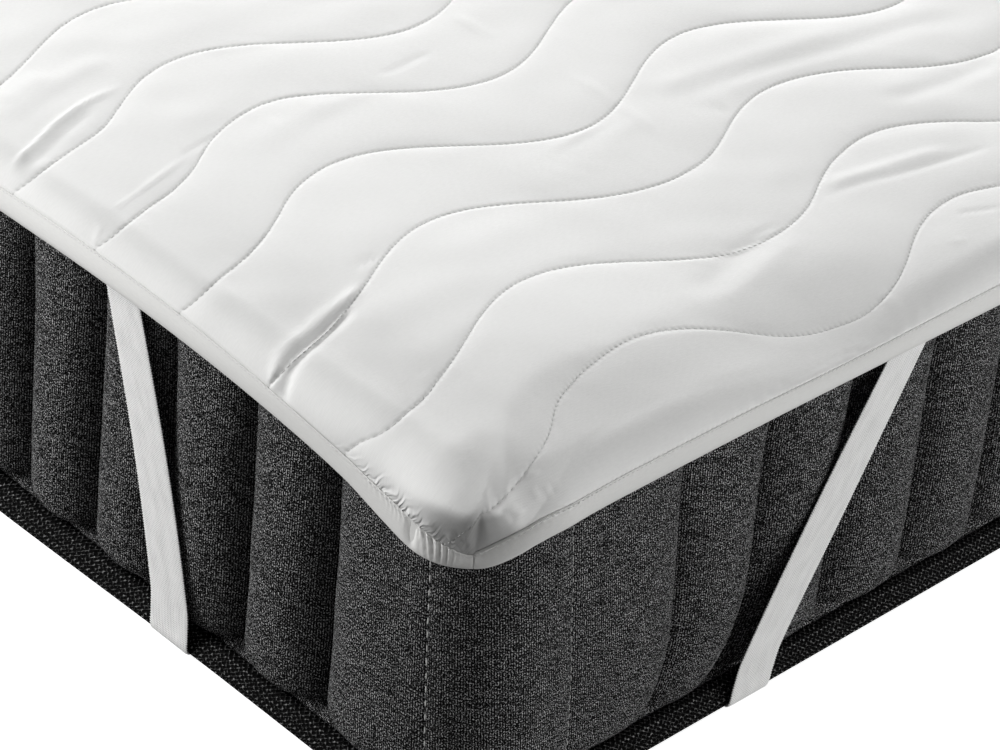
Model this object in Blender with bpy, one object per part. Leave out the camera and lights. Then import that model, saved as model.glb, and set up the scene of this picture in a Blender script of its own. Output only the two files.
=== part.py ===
"""Quilted mattress protector with an elastic band at each corner, on a plain mattress.

Frame: metres, +Z up, origin at the centre of the underside. X runs along the length and Y across.
The cloth is laid out flat first. Its flat places (x, y) are then bent over the mattress by drape().
"""

import math

import bmesh
import bpy
from mathutils import Vector

# Covered mattress, measured on the stitched surface of the pad
LENGTH = 2.000
WIDTH = 1.000
HEIGHT = 0.2265  # floor to the stitched lines
CORNER_RADIUS = 0.060  # wall corners, seen from above
EDGE_RADIUS = 0.025  # bend from the top to the wall

# Pad
CORNER_SLIP = 0.008  # shift of the cloth's corner round the mattress, towards the end wall
PAD_THICKNESS = 0.0052  # at a stitched line
CROWN = 0.006  # rise between two stitched lines
HEM_DROP = 0.0282  # hem edge below the stitched lines, away from the corners
TONGUE_TOP = -0.0013  # pressed edge inside the binding, as lifts from the stitched surface
TONGUE_BOTTOM = -0.0039
TONGUE_DEPTH = 0.0014  # from the binding's fold

# Wave quilting: lines run along X, all in step
WAVE_SPACING = 0.075
WAVE_LINES = 13
WAVE_HEIGHT = 0.0255
WAVE_COUNT = 7
WAVE_LENGTH = LENGTH / WAVE_COUNT
WAVE_SHIFT = 0.5895  # phase at the -X end, in wave lengths
CREST_ROWS = (1 / 3, 2 / 3)  # mesh rows between two lines

# Binding, folded round the pad's edge
BINDING_WIDTH = 0.015
BINDING_CLOTH = 0.0010
MITRE_GAP = 0.0003
DROOP_REACH = 0.440  # the hem is straight beyond this distance from a corner
BINDING_STEP = 3  # mesh columns per binding segment where the hem is straight

# Mattress under the cloth
WALL_INSET = 0.008
TOP_GAP = 0.0003
MATTRESS_EDGE_RUN = 0.046  # soft top edge, in from the wall and down from the top
MATTRESS_EDGE_FALL = 0.024
TAPE_HEIGHT = 0.018
TAPE_DEPTH = 0.010
TAPE_GAP = 0.0004
CORNER_STEPS = 8
EDGE_STEPS = 4

# Elastic bands
BAND_THICKNESS = 0.0012
BAND_GROOVE = 0.0018  # depth of the groove pressed into the underside
GROOVE_MARGIN = 0.004

# Mesh stations, as distances in from the wall plane
END_COLUMNS = (0.006, 0.015, 0.027, 0.040, 0.060)
COLUMN_STEP = 0.040
EDGE_ROWS = (0.006, 0.015)
EDGE_ROW_MIDDLE = 0.5
FRAME_CELLS = 4  # underside cells round the edge that follow the bend

# Hem edge below the stitched lines at the corner that sags most.
# Columns: distance round the wall from the middle of the corner, drop. Minus is the end wall.
CORNER_SAG = (
    (-0.400, 0.0275),
    (-0.300, 0.0268),
    (-0.230, 0.0290),
    (-0.164, 0.0340),
    (-0.100, 0.0425),
    (-0.066, 0.0518),
    (-0.048, 0.0562),
    (-0.031, 0.0572),
    (-0.015, 0.0552),
    (-0.001, 0.0514),
    (0.015, 0.0423),
    (0.025, 0.0367),
    (0.037, 0.0333),
    (0.065, 0.0310),
    (0.125, 0.0296),
    (0.220, 0.0284),
    (0.400, 0.0280),
)

# Corners. Columns: name, side of X, side of Y, share of the sag on the end wall
CORNERS = (
    ("a", -1, -1, 1.00),
    ("b", 1, -1, 0.55),
    ("c", 1, 1, 0.75),
    ("d", -1, 1, 0.40),
)

# Elastic band down a wall. Columns: inset from the wall plane, height, share of the way down.
BAND_DESCENT = (
    (0.0078, HEIGHT - 0.020, 0.00),
    (0.0071, HEIGHT - 0.024, 0.02),
    (0.0062, HEIGHT - 0.031, 0.06),
    (-0.0010, 0.020, 0.93),
    (-0.0010, 0.0009, 1.00),
)
# Band's middle line and width along each wall, from the corner.
# Columns: middle under the hem, width there, middle at the floor, width there
BAND_END_WALL = (0.305, 0.030, 0.232, 0.034)
BAND_LONG_WALL = (0.341, 0.034, 0.234, 0.036)

QUARTER = math.pi / 2
BEND_LENGTH = EDGE_RADIUS * QUARTER
OVERHANG = BEND_LENGTH + HEM_DROP - 2 * EDGE_RADIUS  # flat cloth beyond the wall plane
HALF_X = LENGTH / 2 + OVERHANG
HALF_Y = WIDTH / 2 + OVERHANG
CREASE_RADIUS = CORNER_RADIUS - EDGE_RADIUS
QUARTER_ARC = CORNER_RADIUS * QUARTER / 2  # from the middle of a corner to the straight wall


def smooth(share):
    share = min(max(share, 0.0), 1.0)
    return share * share * (3 - 2 * share)


def table_value(rows, place):
    """Value of a two-column table at a place, along a smooth curve through its rows."""
    if place <= rows[0][0]:
        return rows[0][1]
    if place >= rows[-1][0]:
        return rows[-1][1]
    index = next(i for i in range(1, len(rows)) if place <= rows[i][0])
    x0, y0 = rows[index - 1]
    x1, y1 = rows[index]
    before = rows[max(index - 2, 0)]
    after = rows[min(index + 1, len(rows) - 1)]
    slope0 = (y1 - before[1]) / (x1 - before[0])
    slope1 = (after[1] - y0) / (after[0] - x0)
    width = x1 - x0
    t = (place - x0) / width
    return (
        (2 * t**3 - 3 * t**2 + 1) * y0
        + (t**3 - 2 * t**2 + t) * width * slope0
        + (3 * t**2 - 2 * t**3) * y1
        + (t**3 - t**2) * width * slope1
    )


def corner_share(x, y):
    return next(share for _, sx, sy, share in CORNERS if sx * x >= 0 and sy * y >= 0)


def hem_drop(around, share):
    """Drop of the hem edge at a place round a corner, which sags by the given share."""
    even = table_value(CORNER_SAG, abs(around))
    return even + (table_value(CORNER_SAG, around) - even) * share


def crease_frame(x, y):
    """Nearest place on the crease line, its outward direction, distance beyond it, and place round."""
    side_x = 1 if x >= 0 else -1
    side_y = 1 if y >= 0 else -1
    centre_x = LENGTH / 2 - CORNER_RADIUS
    centre_y = WIDTH / 2 - CORNER_RADIUS
    over_x = abs(x) - centre_x
    over_y = abs(y) - centre_y
    if over_x > 0 and over_y > 0:
        reach = math.hypot(over_x, over_y)
        angle = math.atan2(over_y, over_x)
        flat_reach = (CORNER_RADIUS + OVERHANG) / max(math.cos(angle), math.sin(angle))
        slip = CORNER_SLIP / CORNER_RADIUS * smooth(reach / CORNER_RADIUS)
        angle -= slip * math.sin(2 * angle)
        out = (side_x * math.cos(angle), side_y * math.sin(angle))
        foot = (
            side_x * centre_x + out[0] * CREASE_RADIUS,
            side_y * centre_y + out[1] * CREASE_RADIUS,
        )
        around = angle * CORNER_RADIUS - QUARTER_ARC
        return foot, out, reach - CREASE_RADIUS, around, flat_reach
    flat_reach = CORNER_RADIUS + OVERHANG
    if over_x > over_y:
        foot = (side_x * (centre_x + CREASE_RADIUS), y)
        return foot, (side_x, 0), over_x - CREASE_RADIUS, over_y - QUARTER_ARC, flat_reach
    foot = (x, side_y * (centre_y + CREASE_RADIUS))
    return foot, (0, side_y), over_y - CREASE_RADIUS, QUARTER_ARC - over_x, flat_reach


def drape(x, y, lift):
    """Place in space of a flat place on the cloth, lifted off the stitched surface."""
    foot, out, beyond, around, flat_reach = crease_frame(x, y)
    to_hem = flat_reach - CREASE_RADIUS
    wanted = hem_drop(around, corner_share(x, y)) - EDGE_RADIUS + BEND_LENGTH
    if -0.3 * to_hem < beyond:
        seam = to_hem - BINDING_WIDTH
        beyond += (wanted - to_hem) * smooth((beyond / seam + 0.3) / 1.3)
    if beyond <= 0:
        return Vector((foot[0] + out[0] * beyond, foot[1] + out[1] * beyond, HEIGHT + lift))
    angle = min(beyond / EDGE_RADIUS, QUARTER)
    radius = EDGE_RADIUS + lift
    hang = max(beyond - BEND_LENGTH, 0.0)
    reach = radius * math.sin(angle)
    height = HEIGHT - EDGE_RADIUS + radius * math.cos(angle) - hang
    return Vector((foot[0] + out[0] * reach, foot[1] + out[1] * reach, height))


def wave(x):
    """Sideways place of a stitched line about its middle."""
    return WAVE_HEIGHT * math.cos(math.tau * ((x + LENGTH / 2) / WAVE_LENGTH - WAVE_SHIFT + 1))


def columns():
    """Flat X of the mesh columns, from the seam of one end to the seam of the other."""
    seam = HALF_X - BINDING_WIDTH
    near = [LENGTH / 2 - inset for inset in END_COLUMNS]
    inner = near[-1]
    count = round(2 * inner / COLUMN_STEP)
    middle = [-inner + 2 * inner * i / count for i in range(1, count)]
    return [-seam, *(-x for x in near), *middle, *reversed(near), seam]


def rows(x):
    """Flat Y of the mesh rows at a column, from seam to seam, and the crown at each."""
    seam = HALF_Y - BINDING_WIDTH
    first = -(WAVE_LINES - 1) / 2 * WAVE_SPACING + wave(x)
    last = -first + 2 * wave(x)
    low = [-WIDTH / 2 + inset for inset in EDGE_ROWS]
    high = [-y for y in reversed(low)]
    found = [(-seam, 0.0), (low[0], 0.45), (low[1], 0.75)]
    found.append((low[1] + (first - low[1]) * EDGE_ROW_MIDDLE, 0.9))
    for line in range(WAVE_LINES):
        middle = first + line * WAVE_SPACING
        found.append((middle, 0.0))
        if line < WAVE_LINES - 1:
            found += [(middle + share * WAVE_SPACING, 1.0) for share in CREST_ROWS]
    found.append((high[0] + (last - high[0]) * EDGE_ROW_MIDDLE, 0.9))
    found += [(high[0], 0.75), (high[1], 0.45), (seam, 0.0)]
    return found


def pad_lift(x, crown):
    """Lift of the pad's top: nothing at a stitched line, and less towards the end seams."""
    from_seam = HALF_X - BINDING_WIDTH - abs(x)
    return CROWN * crown * smooth(from_seam / 0.030)


def material(name, colour, roughness):
    made = bpy.data.materials.new(name)
    made.use_nodes = True
    shader = made.node_tree.nodes["Principled BSDF"]
    shader.inputs["Base Color"].default_value = (*colour, 1.0)
    shader.inputs["Roughness"].default_value = roughness
    shader.inputs["Metallic"].default_value = 0.0
    return made


def place(name, points, faces, finish):
    """One object from its points and faces, with its faces turned outwards."""
    mesh = bpy.data.meshes.new(name)
    mesh.from_pydata([tuple(point) for point in points], [], faces)
    shape = bmesh.new()
    shape.from_mesh(mesh)
    bmesh.ops.recalc_face_normals(shape, faces=shape.faces)
    shape.to_mesh(mesh)
    shape.free()
    mesh.materials.append(finish)
    mesh.shade_smooth()
    mesh.set_sharp_from_angle(angle=math.radians(50))
    placed = bpy.data.objects.new(name, mesh)
    bpy.context.scene.collection.objects.link(placed)
    return placed


def split_quad(inner_a, inner_b, outer_b, outer_a):
    """Two triangles, always divided the same way, so that nested strips keep their gap."""
    return [[inner_a, inner_b, outer_b], [inner_a, outer_b, outer_a]]


def outward(x, y, column, row, last_column, last_row, depth):
    """Flat place of a point of the edge at a depth in from the binding's fold."""
    if column in (0, last_column):
        x = math.copysign(HALF_X - depth, x)
    if row in (0, last_row):
        y = math.copysign(HALF_Y - depth, y)
    return x, y


def build_pad(finish):
    """Filled pad: crowned top, pressed edge, and an underside that follows the bend at the edge."""
    xs = columns()
    grid = [[(x, y, crown) for y, crown in rows(x)] for x in xs]
    last_column = len(xs) - 1
    last_row = len(grid[0]) - 1
    points, faces = [], []

    def add(flat_x, flat_y, lift):
        points.append(drape(flat_x, flat_y, lift))
        return len(points) - 1

    def on_edge(column, row):
        return column in (0, last_column) or row in (0, last_row)

    top = {}
    under = {}
    for column, line in enumerate(grid):
        for row, (x, y, crown) in enumerate(line):
            edge = on_edge(column, row)
            lift = TONGUE_TOP if edge else pad_lift(x, crown)
            top[column, row] = add(x, y, lift)
            frame = min(column, row, last_column - column, last_row - row)
            if frame <= FRAME_CELLS:
                under[column, row] = add(x, y, TONGUE_BOTTOM if edge else -PAD_THICKNESS)
    for column in range(last_column):
        for row in range(last_row):
            cell = [(column, row), (column + 1, row), (column + 1, row + 1), (column, row + 1)]
            faces.append([top[key] for key in cell])
            if all(key in under for key in cell):
                frame = [min(c, r, last_column - c, last_row - r) for c, r in cell]
                if min(frame) < FRAME_CELLS:
                    faces.append([under[key] for key in reversed(cell)])

    ring = edge_ring(last_column, last_row)
    tip_top, tip_under = [], []
    for column, row in ring:
        x, y, _ = grid[column][row]
        flat = outward(x, y, column, row, last_column, last_row, TONGUE_DEPTH)
        tip_top.append(add(*flat, TONGUE_TOP))
        tip_under.append(add(*flat, TONGUE_BOTTOM))
    for here in range(len(ring)):
        after = (here + 1) % len(ring)
        a, b = ring[here], ring[after]
        faces += split_quad(top[a], top[b], tip_top[after], tip_top[here])
        faces.append([tip_top[here], tip_top[after], tip_under[after], tip_under[here]])
        faces += split_quad(under[a], under[b], tip_under[after], tip_under[here])
    inner = [
        (column + FRAME_CELLS, row + FRAME_CELLS)
        for column, row in edge_ring(last_column - 2 * FRAME_CELLS, last_row - 2 * FRAME_CELLS)
    ]
    for key in inner:
        points[under[key]].z = HEIGHT - PAD_THICKNESS
    faces.append([under[key] for key in inner])
    return place("quilted_pad", points, faces, finish)


def edge_ring(last_column, last_row):
    """Grid places round the edge of the pad, in order."""
    ring = [(column, 0) for column in range(last_column)]
    ring += [(last_column, row) for row in range(last_row)]
    ring += [(column, last_row) for column in range(last_column, 0, -1)]
    ring += [(0, row) for row in range(last_row, 0, -1)]
    return ring


def binding_section():
    """Folded cloth round the pad's edge, as depth from the fold and lift."""
    under = -PAD_THICKNESS
    leaf = BINDING_CLOTH
    return (
        (BINDING_WIDTH, 0.0),
        (0.0, 0.0),
        (0.0, under),
        (BINDING_WIDTH, under),
        (BINDING_WIDTH, under + leaf),
        (leaf, under + leaf),
        (leaf, -leaf),
        (BINDING_WIDTH, -leaf),
    )


def build_binding(name, along_x, side, finish):
    """One side's folded strip, cut at a slant where it meets the next at a corner."""
    if along_x:
        inner, half = columns()[1:-1], HALF_X
    else:
        inner = [y for y, _ in rows(side * (HALF_X - BINDING_WIDTH))][1:-1]
        half = HALF_Y
    straight = half - DROOP_REACH
    kept = [
        along
        for index, along in enumerate(inner)
        if abs(along) > straight or index % BINDING_STEP == 0
    ]
    stations = [-math.inf, *kept, math.inf]
    if (side > 0) == along_x:
        stations.reverse()
    section = binding_section()
    points, faces = [], []
    for station in stations:
        for depth, lift in section:
            mitre = half - depth - MITRE_GAP
            along = min(max(station, -mitre), mitre) if math.isinf(station) else station
            across = side * ((HALF_Y if along_x else HALF_X) - depth)
            flat = (along, across) if along_x else (across, along)
            points.append(drape(*flat, lift))
    size = len(section)
    for index in range(len(stations) - 1):
        a, b = index * size, (index + 1) * size
        for corner in range(size):
            after = (corner + 1) % size
            inner_side, outer_side = corner, after
            if section[corner][0] < section[after][0]:
                inner_side, outer_side = after, corner
            faces += split_quad(a + inner_side, b + inner_side, b + outer_side, a + outer_side)
    faces.append(list(range(size)))
    faces.append(list(range((len(stations) - 1) * size, len(stations) * size)))
    return place(name, points, faces, finish)


def rounded_outline(inset):
    """Plan outline of the mattress, in from the wall plane, anticlockwise."""
    radius = max(CORNER_RADIUS - inset, 0.004)
    centre_x = LENGTH / 2 - inset - radius
    centre_y = WIDTH / 2 - inset - radius
    outline = []
    for index, (side_x, side_y) in enumerate(((1, 1), (-1, 1), (-1, -1), (1, -1))):
        for step in range(CORNER_STEPS + 1):
            angle = (index + step / CORNER_STEPS) * QUARTER
            outline.append(
                (
                    side_x * centre_x + radius * math.cos(angle),
                    side_y * centre_y + radius * math.sin(angle),
                )
            )
    return outline


def build_rings(name, profile, closed, finish):
    """Solid whose outline follows the mattress at each (inset, height) of a profile."""
    points, faces = [], []
    size = 4 * (CORNER_STEPS + 1)
    for inset, height in profile:
        points += [(x, y, height) for x, y in rounded_outline(inset)]
    count = len(profile)
    for level in range(count if closed else count - 1):
        a, b = level * size, (level + 1) % count * size
        for index in range(size):
            after = (index + 1) % size
            faces.append([a + index, a + after, b + after, b + index])
    if not closed:
        faces.append(list(reversed(range(size))))
        faces.append(list(range((count - 1) * size, count * size)))
    return place(name, points, faces, finish)


def mattress_profile():
    top = HEIGHT - PAD_THICKNESS - TOP_GAP
    tape_inset = TAPE_DEPTH + TAPE_GAP
    ledge = TAPE_HEIGHT + TAPE_GAP
    profile = [(tape_inset, 0.0), (tape_inset, ledge), (WALL_INSET, ledge + 0.003)]
    for step in range(EDGE_STEPS + 1):
        angle = step / EDGE_STEPS * QUARTER
        inset = WALL_INSET + MATTRESS_EDGE_RUN * (1 - math.cos(angle))
        height = top - MATTRESS_EDGE_FALL * (1 - math.sin(angle))
        profile.append((inset, height))
    return profile


def tape_profile():
    round_off = 0.002
    return [
        (0.0, round_off),
        (0.0, TAPE_HEIGHT - round_off),
        (round_off, TAPE_HEIGHT),
        (TAPE_DEPTH, TAPE_HEIGHT),
        (TAPE_DEPTH, 0.0),
        (round_off, 0.0),
    ]


def wall_point(corner, on_end_wall, along, inset, height):
    """Point by a wall, from its distance along it from the corner and in from its plane."""
    _, side_x, side_y, _ = corner
    if on_end_wall:
        return Vector((side_x * (LENGTH / 2 - inset), side_y * (WIDTH / 2 - along), height))
    return Vector((side_x * (LENGTH / 2 - along), side_y * (WIDTH / 2 - inset), height))


def band_lines(corner):
    """Cross lines of a band: under the hem, down one wall, under the corner, up the other."""
    lines = []
    for on_end_wall, plan in ((True, BAND_END_WALL), (False, BAND_LONG_WALL)):
        top_middle, top_width, foot_middle, foot_width = plan
        wall = []
        for inset, height, share in BAND_DESCENT:
            middle = top_middle + (foot_middle - top_middle) * share
            half = (top_width + (foot_width - top_width) * share) / 2
            near = wall_point(corner, on_end_wall, middle - half, inset, height)
            far = wall_point(corner, on_end_wall, middle + half, inset, height)
            wall.append((near, far))
        lines += wall if on_end_wall else list(reversed(wall))
    return lines


def thicken(name, lines, thickness, finish):
    """Flat strip through its cross lines, given a thickness about them."""
    middles = [(near + far) / 2 for near, far in lines]
    points, faces = [], []
    for index, (near, far) in enumerate(lines):
        across = (far - near).normalized()
        normals = []
        for other in (index - 1, index + 1):
            if 0 <= other < len(lines):
                ahead = (middles[other] - middles[index]) * (1 if other > index else -1)
                normals.append(ahead.cross(across).normalized())
        normal = sum(normals, Vector()).normalized()
        offset = normal * (thickness / 2 / normal.dot(normals[0]))
        points += [near - offset, far - offset, far + offset, near + offset]
    for index in range(len(lines) - 1):
        a, b = 4 * index, 4 * (index + 1)
        for corner in range(4):
            after = (corner + 1) % 4
            faces.append([a + corner, b + corner, b + after, a + after])
    last = 4 * (len(lines) - 1)
    faces += [[0, 1, 2, 3], [last + 3, last + 2, last + 1, last]]
    return place(name, points, faces, finish)


def groove_cutter(corner, finish):
    """Hidden bar where a band presses into the underside."""
    _, side_x, side_y, _ = corner
    outside = 0.010
    middle = BAND_END_WALL[2]
    half = BAND_END_WALL[3] / 2 + GROOVE_MARGIN
    flat = (
        (-outside, middle - half + outside),
        (-outside, middle + half + outside),
        (middle + half + outside, -outside),
        (middle - half + outside, -outside),
    )
    plan = [(side_x * (LENGTH / 2 - u), side_y * (WIDTH / 2 - v)) for u, v in flat]
    points = [(x, y, z) for z in (-outside, BAND_GROOVE) for x, y in plan]
    faces = [[3, 2, 1, 0], [4, 5, 6, 7]]
    faces += [[i, (i + 1) % 4, (i + 1) % 4 + 4, i + 4] for i in range(4)]
    cutter = place("groove_cutter_" + corner[0], points, faces, finish)
    cutter.hide_render = True
    cutter.display_type = "WIRE"
    return cutter


def cut(solid, cutter):
    modifier = solid.modifiers.new(cutter.name, "BOOLEAN")
    modifier.operation = "DIFFERENCE"
    modifier.object = cutter


def main():
    for old in list(bpy.data.objects):
        bpy.data.objects.remove(old, do_unlink=True)
    microfibre = material("quilted_microfibre", (0.83, 0.83, 0.82), 0.75)
    strip_cloth = material("binding_cloth", (0.80, 0.80, 0.78), 0.7)
    elastic = material("elastic", (0.78, 0.78, 0.77), 0.8)
    knit = material("mattress_knit", (0.035, 0.036, 0.038), 0.9)
    woven = material("tape_weave", (0.02, 0.02, 0.021), 0.8)

    build_pad(microfibre)
    for name, along_x, side in (
        ("binding_front", True, -1),
        ("binding_back", True, 1),
        ("binding_left", False, -1),
        ("binding_right", False, 1),
    ):
        build_binding(name, along_x, side, strip_cloth)
    mattress = build_rings("mattress", mattress_profile(), False, knit)
    tape = build_rings("mattress_tape", tape_profile(), True, woven)
    for corner in CORNERS:
        thicken("elastic_band_" + corner[0], band_lines(corner), BAND_THICKNESS, elastic)
        cutter = groove_cutter(corner, elastic)
        cut(mattress, cutter)
        cut(tape, cutter)


main()
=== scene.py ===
"""Looks of a quilted mattress protector on its mattress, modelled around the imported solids.

Frame: metres, +Z up, origin under the middle of the mattress, X along its length. Corner a is at -X, -Y.
The cloth is laid out flat first. Its flat places (x, y) are then bent over the mattress by drape().
"""

import math

import bpy
import numpy as np
from bpy.props import FloatProperty, FloatVectorProperty, IntProperty, PointerProperty
from mathutils import Matrix, Vector


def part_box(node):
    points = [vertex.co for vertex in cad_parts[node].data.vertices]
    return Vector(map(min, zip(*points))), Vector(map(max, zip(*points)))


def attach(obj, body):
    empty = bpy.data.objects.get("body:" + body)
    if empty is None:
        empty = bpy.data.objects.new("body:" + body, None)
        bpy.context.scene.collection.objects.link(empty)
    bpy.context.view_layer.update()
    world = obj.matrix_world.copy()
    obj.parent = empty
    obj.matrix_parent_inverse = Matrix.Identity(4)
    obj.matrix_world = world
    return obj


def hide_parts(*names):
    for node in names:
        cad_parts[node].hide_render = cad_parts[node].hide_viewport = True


bl_info = {
    "name": "Quilted Mattress Protector",
    "version": (1, 0, 0),
    "blender": (4, 5, 0),
    "location": "View3D > Sidebar > Protector",
    "description": "Quilted protector with wavy channels, a bound edge and elastic bands, on a mattress",
    "category": "Add Mesh",
}

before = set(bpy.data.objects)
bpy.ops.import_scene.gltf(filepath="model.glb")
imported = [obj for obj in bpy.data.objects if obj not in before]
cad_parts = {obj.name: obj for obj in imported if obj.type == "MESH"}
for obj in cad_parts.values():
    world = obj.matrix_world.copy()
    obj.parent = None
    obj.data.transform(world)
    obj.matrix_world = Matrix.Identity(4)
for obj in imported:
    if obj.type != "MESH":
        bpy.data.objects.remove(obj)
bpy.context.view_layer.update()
TAPE_LOW, TAPE_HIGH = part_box("mattress_tape")
BODY = "root"

# Covered mattress, from the frame. HEIGHT is at the stitched lines.
LENGTH = TAPE_HIGH.x - TAPE_LOW.x
WIDTH = TAPE_HIGH.y - TAPE_LOW.y
CROWN = 0.006
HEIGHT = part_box("quilted_pad")[1].z - CROWN
TAPE_HEIGHT = TAPE_HIGH.z - TAPE_LOW.z
TAPE_SHOWN = 0.69 * TAPE_HEIGHT
TAPE_DEPTH = 0.0104
TAPE_RIBS = 6
TAPE_LIP = 0.0034
TAPE_RIB_RUN = 0.0090
# How far the tape's foot stands out everywhere, and what is added in the middle of the end walls:
# how far, from what distance off the middle line, and over what length it grows
TAPE_SPREAD = 0.0030
TAPE_SPREAD_ADDED = 0.0045
TAPE_SPREAD_FROM = 0.32
TAPE_SPREAD_OVER = 0.24
CORNER_RADIUS = 0.060
EDGE_RADIUS = 0.025

# Pad
CORNER_SLIP = 0.008
PAD_THICKNESS = 0.0052
HEM_DROP = 0.0282
SEAM_LIFT = -0.0005
TONGUE_TOP = -0.0015
TONGUE_BOTTOM = -0.0038
TONGUE_DEPTH = 0.0016
TONGUE_STEP = 0.09
UNDER_RINGS = (0.010, 0.020, 0.032, 0.046, 0.062)
HEM_EASE = 0.3

# Filling of the pad's channels: shape across, and how far from an end seam they reach their full height
CHANNEL_SHAPE = (2.9, 0.8)
CHANNEL_END_SHAPE = (2.2, 0.55)
CHANNEL_END_RISE = 0.040
# They are flatter by the end of corner a: fullness there, what is added past it, from what distance
# off the end seam, and over what length
LEAST_FULL = 0.5
FULL_ADDED = 0.70
FULL_FROM = 0.22
FULL_OVER = 0.50

# Small wrinkles beside the stitched lines, and the groove that a line is sewn into
PUCKER_PITCH = 0.0065
PUCKER_START = 0.0015
PUCKER_REACH = 0.009
GROOVE_DEPTH = 0.0003
GROOVE_WIDTH = 0.0009
UNEVEN_RISE = 0.0004

# Upright gathers above the front seam
GATHER_HEIGHT = 0.00060
GATHER_PITCH = 0.0068
GATHER_REACH = 0.011

# Mesh of the pad. Columns: distance from the end seam at corner a, step along X
COLUMN_STEPS = (
    (0.000, 0.0012),
    (0.052, 0.0012),
    (0.075, 0.0036),
    (0.200, 0.0042),
    (0.620, 0.0042),
    (0.780, 0.020),
    (1.900, 0.020),
    (2.000, 0.006),
    (2.030, 0.002),
)
# Steps across the strips before the first line and past the last, as shares
FRONT_STEPS = ((0, 0.016), (0.2, 0.03), (0.97, 0.03), (1, 0.01))
BACK_STEPS = ((0, 0.03), (1, 0.12))
# Rows across half a channel, as shares. The channels with creases are the finest
FINE_CHANNELS = (0, 1, 4, 5)
FINE_SHARES = (0, 0.01, 0.025, *np.linspace(0.045, 0.955, 32), 0.975, 0.99)
CLOSE_SHARES = (0, 0.008, 0.02, 0.04, 0.07, 0.11, 0.16, 0.23, 0.31, 0.40)
COARSE_SHARES = (0, 0.012, 0.04, 0.10, 0.20, 0.35)
FIRST_COARSE = 8

# Wave quilting: lines run along X, all in step
WAVE_SPACING = 0.075
WAVE_LINES = 13
WAVE_HEIGHT = 0.0255
WAVE_LENGTH = LENGTH / 7
WAVE_SHIFT = 0.5895

# How far the stitched lines stray from a true wave. Columns: distance from the end wall, shift in Y
LINE_STRAY = (
    (-0.003, -0.0060),
    (0.008, -0.0080),
    (0.020, -0.0075),
    (0.030, -0.0045),
    (0.045, -0.0015),
    (0.060, 0.0),
    (0.100, 0.0),
)
LINE_STRAYS = {
    0: (
        (-0.0025, 0.0008),
        (0.0000, -0.0019),
        (0.0035, -0.0045),
        (0.0071, -0.0072),
        (0.0096, -0.0098),
        (0.0119, -0.0113),
        (0.0172, -0.0117),
        (0.0240, -0.0102),
        (0.0310, -0.0082),
        (0.043, -0.0054),
        (0.055, -0.0025),
        (0.073, 0.0005),
        (0.093, 0.0052),
        (0.116, 0.0030),
        (0.145, -0.0010),
        (0.178, -0.0015),
        (0.200, -0.0028),
        (0.222, -0.0055),
        (0.250, -0.0085),
        (0.268, -0.0065),
        (0.289, -0.0031),
        (0.307, -0.0025),
        (0.325, -0.0014),
        (0.362, -0.0002),
        (0.384, 0.0010),
        (0.403, 0.0000),
        (0.428, -0.0036),
        (0.450, -0.0072),
        (0.464, -0.0100),
        (0.480, -0.0117),
        (0.500, -0.0118),
        (0.560, -0.0060),
        (0.620, 0.0),
    ),
    1: (
        (0.000, 0.0070),
        (0.008, 0.0014),
        (0.0145, -0.0060),
        (0.020, -0.0080),
        (0.028, -0.0055),
        (0.045, -0.0024),
        (0.060, 0.0),
        (0.100, 0.0),
        (0.200, -0.0010),
        (0.253, -0.0030),
        (0.275, -0.0025),
        (0.297, 0.0),
        (0.322, 0.0012),
        (0.344, 0.0002),
        (0.360, -0.0010),
        (0.386, -0.0008),
        (0.405, -0.0015),
        (0.430, -0.0034),
        (0.478, -0.0031),
        (0.510, -0.0041),
        (0.537, -0.0068),
        (0.600, -0.0040),
        (0.680, 0.0),
    ),
    2: LINE_STRAY
    + (
        (0.240, 0.0),
        (0.294, 0.0040),
        (0.308, 0.0039),
        (0.329, 0.0030),
        (0.351, 0.0002),
        (0.370, -0.0012),
        (0.403, -0.0021),
        (0.436, -0.0038),
        (0.460, -0.0045),
        (0.480, -0.0038),
        (0.515, -0.0015),
        (0.545, -0.0022),
        (0.594, -0.0024),
        (0.610, -0.0038),
        (0.700, 0.0),
    ),
    3: (
        (-0.003, -0.0050),
        (0.008, -0.0078),
        (0.020, -0.0060),
        (0.030, -0.0025),
        (0.045, -0.0002),
        (0.060, 0.0004),
        (0.078, 0.0008),
        (0.097, 0.0018),
        (0.113, 0.0036),
        (0.127, 0.0041),
        (0.200, 0.0020),
        (0.260, 0.0),
    ),
    4: (
        (-0.003, -0.0060),
        (0.008, -0.0084),
        (0.020, -0.0068),
        (0.030, -0.0037),
        (0.045, -0.0010),
        (0.062, -0.0020),
        (0.082, -0.0032),
        (0.095, -0.0030),
        (0.107, -0.0014),
        (0.120, 0.0),
        (0.136, 0.0005),
        (0.154, 0.0013),
        (0.172, 0.0028),
        (0.190, 0.0036),
        (0.260, 0.0),
    ),
    5: (
        (-0.003, -0.0082),
        (0.008, -0.0108),
        (0.020, -0.0096),
        (0.030, -0.0064),
        (0.045, -0.0038),
        (0.060, -0.0042),
        (0.080, -0.0062),
        (0.096, -0.0050),
        (0.112, -0.0037),
        (0.130, -0.0022),
        (0.150, -0.0018),
        (0.220, 0.0),
    ),
}

BINDING_WIDTH = 0.015
MITRE_GAP = 0.0003
MATTRESS_EDGE_RUN = 0.075
MATTRESS_EDGE_STRETCH = 1.02
MATTRESS_TOP = HEIGHT - PAD_THICKNESS - 0.0003

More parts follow.
